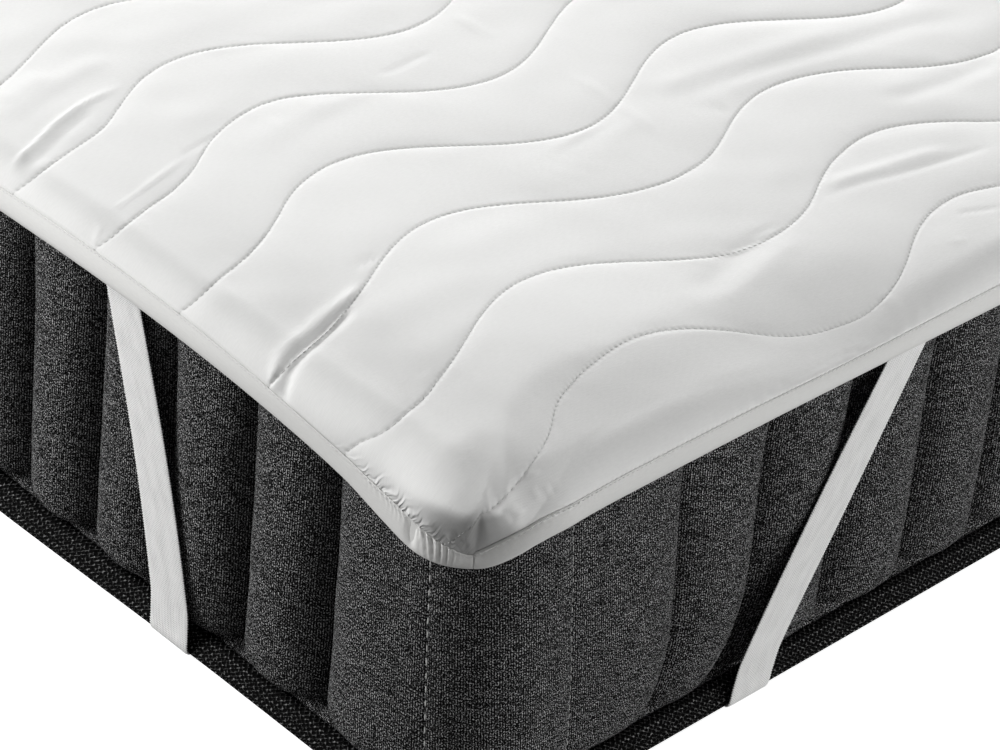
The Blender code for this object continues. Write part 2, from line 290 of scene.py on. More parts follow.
# Hem edge below the stitched lines at the corner that sags most.
# Columns: distance round the wall from the middle of the corner, drop. Minus is the end wall.
CORNER_SAG = (
    (-0.400, 0.0275),
    (-0.300, 0.0268),
    (-0.230, 0.0290),
    (-0.164, 0.0340),
    (-0.100, 0.0425),
    (-0.066, 0.0518),
    (-0.048, 0.0562),
    (-0.031, 0.0572),
    (-0.015, 0.0552),
    (-0.001, 0.0514),
    (0.015, 0.0423),
    (0.025, 0.0367),
    (0.037, 0.0333),
    (0.065, 0.0310),
    (0.125, 0.0296),
    (0.220, 0.0284),
    (0.400, 0.0280),
)

# Corners. Columns: name, side of X, side of Y, share of the sag on the end wall
CORNERS = (("a", -1, -1, 1.00), ("b", 1, -1, 0.55), ("c", 1, 1, 0.75), ("d", -1, 1, 0.40))

# Corner a has slumped over the mattress. Columns: way past the crease, run outward, drop
CORNER_SLUMP = (
    (-0.0300, -0.0300, 0.0000),
    (-0.0180, -0.0182, 0.0006),
    (-0.0050, -0.0058, 0.0035),
    (0.0100, 0.0070, 0.0102),
    (0.0220, 0.0164, 0.0165),
    (0.0320, 0.0228, 0.0226),
    (0.0370, 0.0250, 0.0268),
    (0.0420, 0.0256, 0.0312),
    (0.0550, 0.0254, 0.0430),
    (0.0715, 0.0250, 0.0572),
)
# The long side beside it has a softer edge. Columns as above
SIDE_SLUMP = (
    (-0.0600, -0.0600, 0.0000),
    (-0.0480, -0.0480, 0.0006),
    (-0.0350, -0.0352, 0.0026),
    (-0.0150, -0.0158, 0.0075),
    (0.0000, -0.0012, 0.0108),
    (0.0120, 0.0098, 0.0132),
    (0.0200, 0.0162, 0.0146),
    (0.0275, 0.0214, 0.0163),
    (0.0350, 0.0243, 0.0215),
    (0.0425, 0.0250, 0.0282),
)
# Columns: profile, its middle round the wall from the middle of the corner, its reach
SLUMPS = ((CORNER_SLUMP, -0.012, 0.036), (SIDE_SLUMP, 0.258, 0.080))
CORNER_PULL = 0.0065
CORNER_PULL_REACH = 0.034
# Where the seam is drawn in: how far, its middle along the hem and its reach
DRAWN_END = (0.0046, 0.077, 0.036)
DRAWN_FRONT = (0.0048, 0.042, 0.026)
DRAWN_FADE = 0.030

# The full corner a. Columns: distance along the hem, width of the slope above the seam, rise
BULGE_END = (
    (0.015, 0.0180, 1.00),
    (0.031, 0.0180, 1.00),
    (0.040, 0.0166, 1.00),
    (0.055, 0.0150, 0.90),
    (0.063, 0.0133, 0.75),
    (0.070, 0.0116, 0.60),
    (0.079, 0.0100, 0.42),
    (0.088, 0.0090, 0.28),
    (0.105, 0.0090, 0.12),
    (0.130, 0.0200, 0.05),
    (0.170, 0.0400, 0.02),
    (0.230, 0.0400, 0.00),
)
# Columns: distance along the hem, start and width of the slope above the seam, rise
BULGE_FRONT = (
    (0.015, 0.000, 0.0160, 0.0180),
    (0.040, 0.000, 0.0155, 0.0165),
    (0.046, 0.000, 0.0150, 0.0135),
    (0.052, 0.001, 0.0200, 0.0115),
    (0.060, 0.005, 0.0320, 0.0112),
    (0.075, 0.015, 0.0420, 0.0135),
    (0.095, 0.022, 0.0500, 0.0178),
    (0.125, 0.026, 0.0560, 0.0205),
    (0.170, 0.026, 0.0560, 0.0195),
    (0.210, 0.022, 0.0450, 0.0125),
    (0.250, 0.018, 0.0350, 0.0050),
    (0.300, 0.015, 0.0300, 0.0000),
)
BULGE_REACH_X = 0.300
BULGE_REACH_Y = 0.180
BULGE_END_CREST = 0.031
BULGE_END_FADE = 0.030
CREST_ROUNDNESS = 0.008
FULL_WAY = np.array([-0.622, -0.556, 0.551])

# Painted shade: colour darkened on the cloth tucked in below the crest of corner a. Its top and softness
# are shares of the
# slope. Along each hem: how far it reaches, and the length over which it ends
TUCK_PAINTED_SHADE = 0.57
TUCK_TOP = 1.06
TUCK_SOFTNESS = 0.30
TUCK_END = (0.082, 0.030)
TUCK_FRONT = (0.053, 0.008)

# Creases in the cloth. Each fades out over a share of its length at both ends, and reaches a few times
# its half width to the sides
CREASE_FADE = 0.22
CREASE_MARGIN = 3
# Creases. Columns: rise, half width, route.
# All in millimetres, the route from the mattress walls at corner a.
CREASES = (
    (1.4, 1.7, ((4, 404), (27, 411.5), (62, 428), (92, 437), (122, 440))),
    (-1.0, 4.0, ((6, 396), (30, 404), (60, 418), (90, 429))),
    (-0.8, 1.6, ((92, 358), (112, 362), (128, 366))),
    (0.6, 1.8, ((50, 341), (69, 347), (94, 354))),
    (0.5, 1.4, ((0, 324), (13, 329))),
    (0.8, 8.0, ((35, 448), (91, 465), (136, 474))),
    (0.7, 7.0, ((45, 462), (93, 477))),
    (0.5, 5.0, ((132, 342), (181, 354), (223, 361))),
    (0.5, 4.5, ((167, 346), (204, 353), (236, 353))),
    (0.4, 4.0, ((159, 382), (165, 345))),
    (0.5, 4.0, ((345, 399), (349, 358))),
    (-0.6, 3.0, ((253, 363), (302, 370))),
    (1.6, 3.0, ((-14, 163), (8, 173), (28, 178), (54, 186), (75, 192), (90, 198))),
    (-1.8, 3.6, ((-10, 157), (8, 163), (30, 170), (54, 178), (72, 185))),
    (-1.0, 1.7, ((92, 212), (117, 214))),
    (-0.7, 1.4, ((-24, 204), (-12, 206))),
    (0.5, 1.2, ((-22, 184), (-10, 181))),
    (0.3, 1.5, ((49, 109), (64, 114))),
    (0.4, 1.6, ((26, 334), (60, 344))),
    (0.7, 4.0, ((218, 223), (271, 228), (329, 234), (360, 239))),
    (0.6, 3.4, ((228, 215), (279, 217), (337, 225))),
    (0.5, 3.4, ((230, 236), (325, 248))),
    (0.6, 3.0, ((353, 309), (352, 258), (345, 213))),
    (-1.3, 6.0, ((367, 246), (411, 245), (460, 240), (534, 229), (577, 225), (657, 206))),
    (1.0, 7.0, ((378, 256), (420, 256), (480, 252), (555, 243))),
    (-0.7, 2.2, ((383, 228), (400, 222), (401, 211))),
    (-0.7, 2.8, ((371, 112), (399, 112), (434, 104), (474, 98), (516, 93))),
    (0.9, 5.0, ((380, 122), (430, 115), (490, 106))),
    (-0.9, 8.0, ((227, 82), (276, 96), (317, 107))),
    (0.7, 7.0, ((235, 68), (285, 80), (330, 92))),
    (-1.0, 8.0, ((490, 167), (542, 162), (602, 162))),
    (-0.9, 1.3, ((425, 56), (454, 43))),
    (0.7, 1.2, ((396, 38), (410, 31))),
    (-0.5, 2.0, ((305, 108), (331, 108))),
    (0.6, 1.6, ((331, 32), (328, 10))),
    (0.7, 1.0, ((44.5, 20), (47, 19), (50, 18))),
    (0.40, 0.9, ((43.9, 14.5), (44.2, 7))),
    (0.40, 0.9, ((48.9, 12.5), (49.3, 4.5))),
    (0.40, 0.9, ((53, 12.5), (53.4, 5.5))),
    (0.35, 0.9, ((56.8, 8), (57.4, 2.5))),
    (0.9, 1.2, ((2.9, 48), (3.8, 43.5), (2, 39))),
    (-1.1, 1.1, ((6.6, 27.6), (3.3, 17.8), (0, 6.7))),
    (1.0, 1.1, ((4.4, 31), (1.8, 21), (-1.1, 7.3))),
    (-0.8, 1.0, ((2.6, 35), (0.2, 24), (-2, 12))),
    (-1.0, 1.4, ((27.1, 12.7), (30.2, 10.4), (31.5, 6.9), (31.9, 2.8))),
    (0.6, 1.4, ((33.5, 12.5), (35.1, 9.1), (36.3, 4.5))),
    (-0.7, 1.3, ((170, 6.5), (174, 4))),
    (-0.7, 1.3, ((199, 1), (203, -1.5))),
    (-0.7, 1.3, ((340, -4), (345, -6.5))),
)

# Elastic band down a wall. Columns: inset from the wall plane, height, share of the way down
BAND_DESCENT = (
    (0.0078, HEIGHT - 0.020, 0.00),
    (0.0071, HEIGHT - 0.024, 0.02),
    (0.0062, HEIGHT - 0.031, 0.06),
    (0.0018, 0.108, 0.48),
    (-0.0022, 0.030, 0.90),
    (-0.0036, 0.012, 0.965),
    (-0.0044, 0.0062, 0.985),
    (-0.0034, 0.0022, 0.995),
    (0.0040, 0.0010, 1.00),
)
BAND_THICKNESS = 0.0012
BAND_STEP = 0.0008
BAND_TOOTH = 0.0008
BAND_EDGE = 0.08
# Section of a band, as shares of its width and of half its thickness
BAND_FACE = ((0.0, 0.5), (0.04, 0.9), (0.10, 1.0), (0.5, 1.0), (0.90, 1.0), (0.96, 0.9), (1.0, 0.5))
BAND_SECTION = ((0.0, -0.5), *BAND_FACE, *((share, -level) for share, level in reversed(BAND_FACE[1:])))
# Columns: middle under the hem, width there, middle at the floor, width there, from the corner,
# bow toward the corner, lift of the far edge
BAND_END_WALL = (0.305, 0.029, 0.232, 0.033, 0.0066, 0.0)
BAND_LONG_WALL = (0.341, 0.033, 0.2275, 0.034, 0.0075, 0.0020)

# Upright channels of the mattress border near corner a, which lean.
# Columns: distance round the wall from the middle of the corner at the top, the same at the foot,
# share of the full depth
CHANNELS_NEAR = (
    (-0.382, -0.374, 1.0),
    (-0.316, -0.312, 1.0),
    (-0.254, -0.248, 0.9),
    (-0.188, -0.181, 1.0),
    (-0.1205, -0.113, 1.0),
    (-0.039, -0.024, 0.12),
    (0.057, 0.073, 0.16),
    (0.1465, 0.160, 0.55),
    (0.2195, 0.224, 0.85),
    (0.292, 0.296, 1.0),
    (0.364, 0.370, 0.9),
    (0.434, 0.437, 0.9),
)
CHANNEL_TOP = 0.187
CHANNEL_FOOT = 0.050
# Columns: distance round the wall of a channel's top, turn of its foot toward the corner
FOOT_TURNS = (
    (0.085, 0.0),
    (0.1465, -0.026),
    (0.2195, -0.040),
    (0.262, -0.014),
    (0.285, 0.0),
)
FOOT_TURN_HEIGHT = 0.075
# Columns: height, inset of a panel's crest from the end wall's plane, the same for the long wall,
# depth of a channel behind it
BORDER_PROFILE = (
    (0.0128, 0.0120, 0.0130, 0.004),
    (0.0140, 0.0080, 0.0095, 0.008),
    (0.0170, 0.0048, 0.0070, 0.012),
    (0.0230, 0.0026, 0.0052, 0.0165),
    (0.0320, 0.0020, 0.0044, 0.0200),
    (0.0470, 0.0020, 0.0040, 0.0215),
    (0.0620, 0.0024, 0.0038, 0.0220),
    (0.0850, 0.0032, 0.0040, 0.0220),
    (0.1100, 0.0042, 0.0046, 0.0215),
    (0.1400, 0.0055, 0.0056, 0.0205),
    (0.1650, 0.0067, 0.0068, 0.0185),
    (0.1850, 0.0079, 0.0080, 0.0150),
    (0.1970, 0.0086, 0.0086, 0.0110),
)

CHANNEL_SHARES = (0, 0.012, 0.03, 0.06, 0.10, 0.155, 0.225, 0.31, 0.40)
CHANNEL_RISE = 0.009
# The other channels round the mattress: how far they wander and lean, and their depth at a corner
CHANNEL_WANDER = 0.004
CHANNEL_LEAN = 0.004
CHANNEL_AT_CORNER = 0.2
LEAN_RANGE = (-0.2, 1.15)
PANEL_SHAPE = (2.1, 0.6)
PANEL_UNEVEN = 0.0006
# Rings of the mattress's side. Those below BORDER_START are drawn in behind the tape
BORDER_LEVELS = (0.0019, 0.0118, 0.0128, 0.0136, 0.015, 0.0175, 0.021, 0.026, 0.032, 0.040, 0.049, 0.059)
BORDER_LEVELS += (0.071, 0.084, 0.098, 0.112, 0.126, 0.140, 0.154, 0.167, 0.178, 0.188, 0.197)
BORDER_START = 0.0125
FOOT_INSETS = (0.0112, 0.0125)
TOP_RINGS = 6

# Stitched lines of the pad end short of its seams, and lie in their grooves. Mattress channels are sewn
# between two heights, with bold stitches where they are shallow
LINE_END = 0.001
LINE_LIFT = -0.0002
HEM_LINE_INSET = 0.0011
HEM_LINE_LIFT = 0.00005
CHANNEL_SEWN = (0.024, 0.196)
THREAD_STANDS_OUT = 0.0003
BOLD_CHANNEL = 0.15

# Cloth, thread and knit. Pitches, reaches and depths in metres, shades as shares of the full colour
WEAVE_PITCH = 0.0009
# Needle holes are painted shade: a grey tint in the cloth's colour along the stitched lines.
HOLE_REACH = 0.0008
HOLE_SHADE_AMOUNT = 0.32
HOLE_COLOUR = (0.20, 0.20, 0.20, 1)
DIMPLE_REACH = 0.0022
DIMPLE_DEPTH = 0.00018
WEBBING_ROW = 0.00125
WEBBING_CORD = 0.00135
WEBBING_SHADE = 0.52
KNIT_COLUMN = 0.0015
BLACK = (0.002, 0.002, 0.002, 1)
TAPE_CELL_LENGTH = 0.0040
TAPE_CELL_HEIGHT = 0.0037
TAPE_RIB_PITCH = 0.0050
THREAD_ON_MATTRESS = (0.85, 0.85, 0.84)

QUARTER = math.pi / 2
BEND_LENGTH = EDGE_RADIUS * QUARTER
OVERHANG = BEND_LENGTH + HEM_DROP - 2 * EDGE_RADIUS
HALF_X = LENGTH / 2 + OVERHANG
HALF_Y = WIDTH / 2 + OVERHANG
SEAM_X = HALF_X - BINDING_WIDTH
SEAM_Y = HALF_Y - BINDING_WIDTH
CREASE_RADIUS = CORNER_RADIUS - EDGE_RADIUS
QUARTER_ARC = CORNER_RADIUS * QUARTER / 2
PERIMETER = 2 * (LENGTH + WIDTH) - 8 * CORNER_RADIUS + math.tau * CORNER_RADIUS


# ---------------------------------------------------------------- measures


def smooth(share):
    """Share held between 0 and 1 and eased at both ends."""
    share = np.clip(share, 0.0, 1.0)
    return share * share * (3 - 2 * share)


def hump(place, middle, reach):
    """1 at a middle, falling smoothly to 0 past its reach on both sides."""
    return np.exp(-(((place - middle) / reach) ** 2))


def table_curve(rows, place, column=1):
    """Values of a table's column along a smooth curve through its rows, at the given places."""
    table = np.array([[row[0], row[column]] for row in rows], float)
    stations, values = table[:, 0], table[:, 1]
    last = len(rows) - 1
    before = np.maximum(np.arange(last + 1) - 1, 0)
    after = np.minimum(np.arange(last + 1) + 1, last)
    slopes = (values[after] - values[before]) / (stations[after] - stations[before])
    place = np.clip(place, stations[0], stations[-1])
    left = np.clip(np.searchsorted(stations, place, side="right") - 1, 0, last - 1)
    width = stations[left + 1] - stations[left]
    t = (place - stations[left]) / width
    return (
        (2 * t**3 - 3 * t**2 + 1) * values[left]
        + (t**3 - 2 * t**2 + t) * width * slopes[left]
        + (3 * t**2 - 2 * t**3) * values[left + 1]
        + (t**3 - t**2) * width * slopes[left + 1]
    )


def soft_noise(x, y, seed=0):
    """Smooth unevenness between -1 and 1 that changes over about one unit."""
    cell_x, cell_y = np.floor(x).astype(np.int64), np.floor(y).astype(np.int64)
    part_x, part_y = x - cell_x, y - cell_y
    ease_x, ease_y = smooth(part_x), smooth(part_y)

    def value(step_x, step_y):
        mixed = (cell_x + step_x) * 374761393 + (cell_y + step_y) * 668265263 + seed * 144269
        mixed = mixed & 0x7FFFFFFF
        mixed = ((mixed ^ (mixed >> 13)) * 1274126177) & 0x7FFFFFFF
        return (mixed ^ (mixed >> 15)) / 0x3FFFFFFF - 1

    low = value(0, 0) * (1 - ease_x) + value(1, 0) * ease_x
    high = value(0, 1) * (1 - ease_x) + value(1, 1) * ease_x
    return low * (1 - ease_y) + high * ease_y


def graded(total, rules):
    """Stations from 0 to a total, whose step is read from rows of (place, step)."""
    places, steps = np.array(rules, float).T
    stations = [0.0]
    while stations[-1] < total:
        stations.append(stations[-1] + float(np.interp(stations[-1], places, steps)))
    return np.array(stations) * total / stations[-1]


def rounded_rise(share, fullness, edge):
    """Rise of a filled channel from 0 at its sewn sides to 1 in its middle."""
    return np.maximum(1 - np.abs(2 * share - 1) ** fullness, 0) ** edge


def smooth_route(points, per_span=6):
    """Points along a smooth curve through the given ones."""
    points = np.array(points, float)
    places = np.concatenate([[0], np.cumsum(np.linalg.norm(np.diff(points, axis=0), axis=1))])
    spans = np.linspace(0, len(points) - 1, per_span * (len(points) - 1) + 1)
    fine = np.interp(spans, np.arange(len(points)), places)
    columns = [
        table_curve(list(zip(places, points[:, axis])), fine) for axis in range(points.shape[1])
    ]
    return np.stack(columns, axis=1)


# ---------------------------------------------------------------- cloth over the mattress


def from_seams(x, y):
    """Distance in from the end seam and from the front seam at corner a."""
    return x + HALF_X - BINDING_WIDTH, y + HALF_Y - BINDING_WIDTH


def hem_drop(around, share):
    """Drop of the hem edge at places round a corner, which sags by the given share."""
    even = table_curve(CORNER_SAG, np.abs(around))
    return even + (table_curve(CORNER_SAG, around) - even) * share


def corner_pull(x, y):
    """Flat places near corner a, drawn out toward its tip, where the binding is narrower."""
    away = np.hypot(x + SEAM_X, y + SEAM_Y)
    hem_x, hem_y = x + HALF_X, y + HALF_Y
    from_hem = np.minimum(hem_x, hem_y)
    pull = CORNER_PULL * hump(away, 0, CORNER_PULL_REACH) * smooth(from_hem / BINDING_WIDTH)
    in_x, in_y = drawn_in(hem_x, hem_y, *DRAWN_END), drawn_in(hem_y, hem_x, *DRAWN_FRONT)
    return x - pull + in_x, y - pull + in_y


def drawn_in(depth, along, amount, middle, reach):
    """How far the seam by corner a is drawn in from the hem."""
    near = np.minimum(smooth(depth / BINDING_WIDTH), np.exp(-((depth - BINDING_WIDTH) / DRAWN_FADE)))
    return amount * near * hump(along, middle, reach)


def corner_bulge(x, y):
    """How far the full cloth by corner a stands out, before it drops steeply to its seams."""
    from_end, from_front = from_seams(x, y)
    hem_x, hem_y = from_end + BINDING_WIDTH, from_front + BINDING_WIDTH
    wide_x, end_rise = (table_curve(BULGE_END, hem_y, column) for column in (1, 2))
    start, wide_y, front_rise = (table_curve(BULGE_FRONT, hem_x, column) for column in (1, 2, 3))
    past_crest = np.maximum(hem_x - BULGE_END_CREST, 0)
    amount = (1 + (end_rise - 1) * hump(past_crest, 0, BULGE_END_FADE)) * front_rise
    rise = amount * crest_ramp(from_end / wide_x) * crest_ramp((from_front - start) / wide_y)
    past_x, past_y = np.maximum(from_end - wide_x, 0), np.maximum(from_front - start - wide_y, 0)
    return rise * hump(past_x, 0, BULGE_REACH_X) * hump(past_y, 0, BULGE_REACH_Y)


def painted_tuck_shade(x, y):
    """Share of painted shade, from 0 to 1, on the cloth tucked in below the crest of corner a."""
    from_end, from_front = from_seams(x, y)
    hem_x, hem_y = from_end + BINDING_WIDTH, from_front + BINDING_WIDTH
    crest_end = table_curve(BULGE_END, hem_y, 1)
    crest_front = table_curve(BULGE_FRONT, hem_x, 1) + table_curve(BULGE_FRONT, hem_x, 2)
    shades = [
        smooth((TUCK_TOP - away / crest) / TUCK_SOFTNESS) * smooth((end - along) / fade)
        for away, crest, along, (end, fade) in (
            (from_end, crest_end, hem_y, TUCK_END),
            (from_front, crest_front, hem_x, TUCK_FRONT),
        )
    ]
    return np.maximum(*shades)


def crest_ramp(share):
    """Straight rise from 0 at a seam to 1 at a crest, and level past it."""
    share = np.maximum(share, 0)
    return 0.5 * (share + 1 - np.sqrt((share - 1) ** 2 + CREST_ROUNDNESS)) + 0.002 * np.exp(-share)


def slumped_fall(profile, beyond):
    """Run, drop, and sine and cosine of the fall, of slumped cloth past its crease."""
    low, high = profile[0][0], profile[-1][0]
    place = np.clip(beyond, low, high)
    past = beyond - place
    run = table_curve(profile, place) + np.minimum(past, 0)
    drop = table_curve(profile, place, 2) + np.maximum(past, 0)
    ahead, behind = np.clip(place + 0.0005, low, high), np.clip(place - 0.0005, low, high)
    across = table_curve(profile, ahead) - table_curve(profile, behind)
    down = table_curve(profile, ahead, 2) - table_curve(profile, behind, 2)
    length = np.hypot(across, down)
    return run, drop, down / length, across / length


def edge_fall(beyond, around, at_corner_a):
    """Run and drop of the cloth past its crease, and the sine and cosine of its fall."""
    bend = np.clip(beyond / EDGE_RADIUS, 0, QUARTER)
    hang = np.maximum(beyond - BEND_LENGTH, 0)
    run = np.where(beyond > 0, EDGE_RADIUS * np.sin(bend), beyond)
    drop = np.where(beyond > 0, EDGE_RADIUS * (1 - np.cos(bend)) + hang, 0.0)
    fall = [run, drop, np.sin(bend), np.cos(bend)]
    for profile, middle, reach in SLUMPS:
        share = np.where(at_corner_a, hump(around, middle, reach), 0.0)
        slumped = slumped_fall(profile, beyond)
        fall = [even * (1 - share) + other * share for even, other in zip(fall, slumped)]
    size = np.hypot(fall[2], fall[3])
    return fall[0], fall[1], fall[2] / size, fall[3] / size


def drape(x, y, lift):
    """Places in space of flat places on the cloth, lifted off the stitched surface."""
    x, y, lift = np.broadcast_arrays(*(np.asarray(v, float) for v in (x, y, lift)))
    full = corner_bulge(x, y)
    x, y = corner_pull(x, y)
    side_x, side_y = np.where(x >= 0, 1.0, -1.0), np.where(y >= 0, 1.0, -1.0)
    centre_x, centre_y = LENGTH / 2 - CORNER_RADIUS, WIDTH / 2 - CORNER_RADIUS
    over_x, over_y = np.abs(x) - centre_x, np.abs(y) - centre_y
    at_corner = (over_x > 0) & (over_y > 0)
    at_end = ~at_corner & (over_x > over_y)
    reach = np.hypot(over_x, over_y)
    angle = np.arctan2(over_y, over_x)
    flat_reach = np.where(
        at_corner,
        (CORNER_RADIUS + OVERHANG) / np.maximum(np.maximum(np.cos(angle), np.sin(angle)), 0.5),
        CORNER_RADIUS + OVERHANG,
    )
    slip = CORNER_SLIP / CORNER_RADIUS * smooth(reach / CORNER_RADIUS)
    angle = angle - slip * np.sin(2 * angle)
    out_x = np.where(at_corner, side_x * np.cos(angle), np.where(at_end, side_x, 0.0))
    out_y = np.where(at_corner, side_y * np.sin(angle), np.where(at_end, 0.0, side_y))
    foot_x = np.where(at_corner, side_x * centre_x, np.where(at_end, side_x * centre_x, x))
    foot_y = np.where(at_corner, side_y * centre_y, np.where(at_end, y, side_y * centre_y))
    foot_x, foot_y = foot_x + out_x * CREASE_RADIUS, foot_y + out_y * CREASE_RADIUS
    beyond = np.where(at_corner, reach, np.maximum(over_x, over_y)) - CREASE_RADIUS
    along = np.where(at_end, over_y - QUARTER_ARC, QUARTER_ARC - over_x)
    around = np.where(at_corner, angle * CORNER_RADIUS - QUARTER_ARC, along)
    share = np.zeros_like(x)
    for _, corner_x, corner_y, sag in CORNERS:
        share = np.where((side_x == corner_x) & (side_y == corner_y), sag, share)
    to_hem = flat_reach - CREASE_RADIUS
    wanted = hem_drop(around, share) - EDGE_RADIUS + BEND_LENGTH
    seam = to_hem - BINDING_WIDTH
    beyond = beyond + (wanted - to_hem) * smooth((beyond / seam + HEM_EASE) / (1 + HEM_EASE))
    run, drop, sine, cosine = edge_fall(beyond, around, share == 1)
    run = run + lift * sine
    points = [foot_x + out_x * run, foot_y + out_y * run, HEIGHT - drop + lift * cosine]
    return np.stack(points, axis=-1) + full[..., None] * FULL_WAY


def wave(x):
    """Sideways place of a stitched line about its middle."""
    return WAVE_HEIGHT * np.cos(math.tau * ((x + LENGTH / 2) / WAVE_LENGTH - WAVE_SHIFT + 1))


def line_place(number, x):
    """Flat Y of a stitched line, counted from the front."""
    stray = LINE_STRAYS.get(number, LINE_STRAY)
    off = table_curve(stray, np.asarray(x) + LENGTH / 2)
    return (number - (WAVE_LINES - 1) / 2) * WAVE_SPACING + wave(x) + off


def crease_lift(x, y):
    """Rise of the cloth from its creases at flat places."""
    place_x, place_y = (x + LENGTH / 2) * 1000, (y + WIDTH / 2) * 1000
    lift = np.zeros_like(x)
    for rise, half_width, points in CREASES:
        route = smooth_route(points)
        margin = CREASE_MARGIN * half_width
        near = (
            (place_x > route[:, 0].min() - margin)
            & (place_x < route[:, 0].max() + margin)
            & (place_y > route[:, 1].min() - margin)
            & (place_y < route[:, 1].max() + margin)
        )
        if not near.any():
            continue
        spot = np.stack([place_x[near], place_y[near]], axis=1)
        nearest = np.full(len(spot), np.inf)
        share = np.zeros(len(spot))
        spans = len(route) - 1
        for index in range(spans):
            start, span = route[index], route[index + 1] - route[index]
            t = np.clip((spot - start) @ span / (span @ span), 0, 1)
            away = np.linalg.norm(spot - start - t[:, None] * span, axis=1)
            share = np.where(away < nearest, (index + t) / spans, share)
            nearest = np.minimum(nearest, away)
        ends = smooth(share / CREASE_FADE) * smooth((1 - share) / CREASE_FADE)
        lift[near] += rise / 1000 * ends * hump(nearest, 0, half_width)
    return lift


def gather(phase):
    """Row of narrow ridges, each with a hollow on one side. The phase grows by 1 from ridge to ridge."""
    part = phase - np.floor(phase)
    return hump(part, 0.42, 0.13) - 0.75 * hump(part, 0.72, 0.15)


def seam_gathers(x, y):
    """Upright wrinkles of the pad above its front seam, past corner a."""
    from_end, from_front = from_seams(x, y)
    drift = 0.4 * soft_noise(from_end / 0.015, from_front / 0.02, 22)
    fade = np.minimum(smooth(from_front / 0.0010), hump(from_front, 0, GATHER_REACH))
    uneven = 0.6 + 0.8 * soft_noise(from_end / 0.03, from_front / 0.05, 25)
    strength = smooth((from_end - 0.03) / 0.04) * uneven
    phase = from_end / GATHER_PITCH + 0.3 * from_front / 0.01 + drift
    return GATHER_HEIGHT * gather(phase) * fade * strength


# ---------------------------------------------------------------- making meshes and pieces


def make_mesh(name, points, faces, finish, uvs=None):
    """Smooth mesh from points, quads or triangles, and a place on the cloth for each corner."""
    mesh = bpy.data.meshes.new(name)
    mesh.from_pydata(np.asarray(points).tolist(), [], [list(map(int, face)) for face in faces])
    if uvs:
        corners = np.zeros(len(mesh.loops), np.int32)
        mesh.loops.foreach_get("vertex_index", corners)
        for uv_name, places in uvs.items():
            layer = mesh.uv_layers.new(name=uv_name)
            layer.data.foreach_set("uv", np.asarray(places, np.float32)[corners].ravel())
    mesh.materials.append(finish)
    mesh.shade_smooth()
    mesh.update()
    return mesh


def put(name, mesh):
    """Object of a mesh, in the scene."""
    piece = bpy.data.objects.new(name, mesh)
    bpy.context.scene.collection.objects.link(piece)
    return piece


def grid_faces(columns, rows, wrap=False):
    """Quads of a grid of points stored column by column, which may close on itself."""
    faces = []
    for column in range(columns if wrap else columns - 1):
        here, after = column * rows, (column + 1) % columns * rows
        faces += [(here + r, after + r, after + r + 1, here + r + 1) for r in range(rows - 1)]
    return faces


def strip_faces(count, size, turned):
    """Faces of a strip with a closed section and two flat ends, stored section by section."""
    faces = []
    for index in range(count - 1):
        here, after = index * size, (index + 1) * size
        for corner in range(size):
            beside = (corner + 1) % size
            faces.append((here + corner, after + corner, after + beside, here + beside))
    faces.append(list(reversed(range(size))))
    faces.append([(count - 1) * size + corner for corner in range(size)])
    return [list(reversed(face)) for face in faces] if turned else faces


def edge_ring(columns, rows):
    """Column and row of each point round a grid's edge, in order."""
    ring = [(column, 0) for column in range(columns - 1)]
    ring += [(columns - 1, row) for row in range(rows - 1)]
    ring += [(column, rows - 1) for column in range(columns - 1, 0, -1)]
    ring += [(0, row) for row in range(rows - 1, 0, -1)]
    return np.array(ring)


def keep_number(mesh, name, values):
    """Keeps a number in each point of a mesh, for its finish to read."""
    kept = mesh.attributes.new(name, "FLOAT", "POINT")
    kept.data.foreach_set("value", values.astype(np.float32))


def set_sharp(mesh, degrees):
    """Keeps the edges of a smooth mesh sharp that turn by more than an angle."""
    mesh.set_sharp_from_angle(angle=math.radians(degrees))


def dress(piece, slot, *nodes):
    """Makes a piece ride on the body and stand for its solids. Its slot is not used."""
    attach(piece, BODY)
    if nodes:
        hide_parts(*nodes)
    return piece


# ---------------------------------------------------------------- materials


def node(tree, kind, sockets=None, **settings):
    """A node with its settings, and its inputs set or linked by name or number."""
    made = tree.nodes.new(kind)
    for key, value in settings.items():
        setattr(made, key, value)
    for key, value in (sockets or {}).items():
        if isinstance(value, bpy.types.NodeSocket):
            tree.links.new(value, made.inputs[key])
        else:
            made.inputs[key].default_value = value
    return made


def sum_up(tree, kind, *values):
    """Output of a Math node."""
    made = node(tree, "ShaderNodeMath", dict(enumerate(values)), operation=kind)
    return made.outputs[0]


def blend_colour(tree, share, first, second, kind="MIX"):
    """Mix of two colours by a share."""
    made = tree.nodes.new("ShaderNodeMix")
    made.data_type = "RGBA"
    made.blend_type = kind
    for socket, value in ((made.inputs[0], share), (made.inputs[6], first), (made.inputs[7], second)):
        if isinstance(value, bpy.types.NodeSocket):
            tree.links.new(value, socket)
        else:
            socket.default_value = value
    return made.outputs[2]


def new_finish(name, roughness, sheen=0.0, specular=0.3):
    """Material with a bare shader, whose even values are set on its own sockets."""
    finish = bpy.data.materials.new(name)
    finish.use_nodes = True
    shader = finish.node_tree.nodes["Principled BSDF"]
    shader.inputs["Roughness"].default_value = roughness
    shader.inputs["Specular IOR Level"].default_value = specular
    shader.inputs["Sheen Weight"].default_value = sheen
    shader.inputs["Sheen Roughness"].default_value = 0.5
    return finish, finish.node_tree, shader


def ramp(tree, value, *stops):
    """Colour ramp from rows of (place, grey or colour)."""
    made = tree.nodes.new("ShaderNodeValToRGB")
    tree.links.new(value, made.inputs[0])
    elements = made.color_ramp.elements
    while len(elements) < len(stops):
        elements.new(0.5)
    for element, (place, colour) in zip(elements, stops):
        element.position = place
        element.color = (*colour, 1) if isinstance(colour, tuple) else (colour,) * 3 + (1,)
    return made.outputs[0]


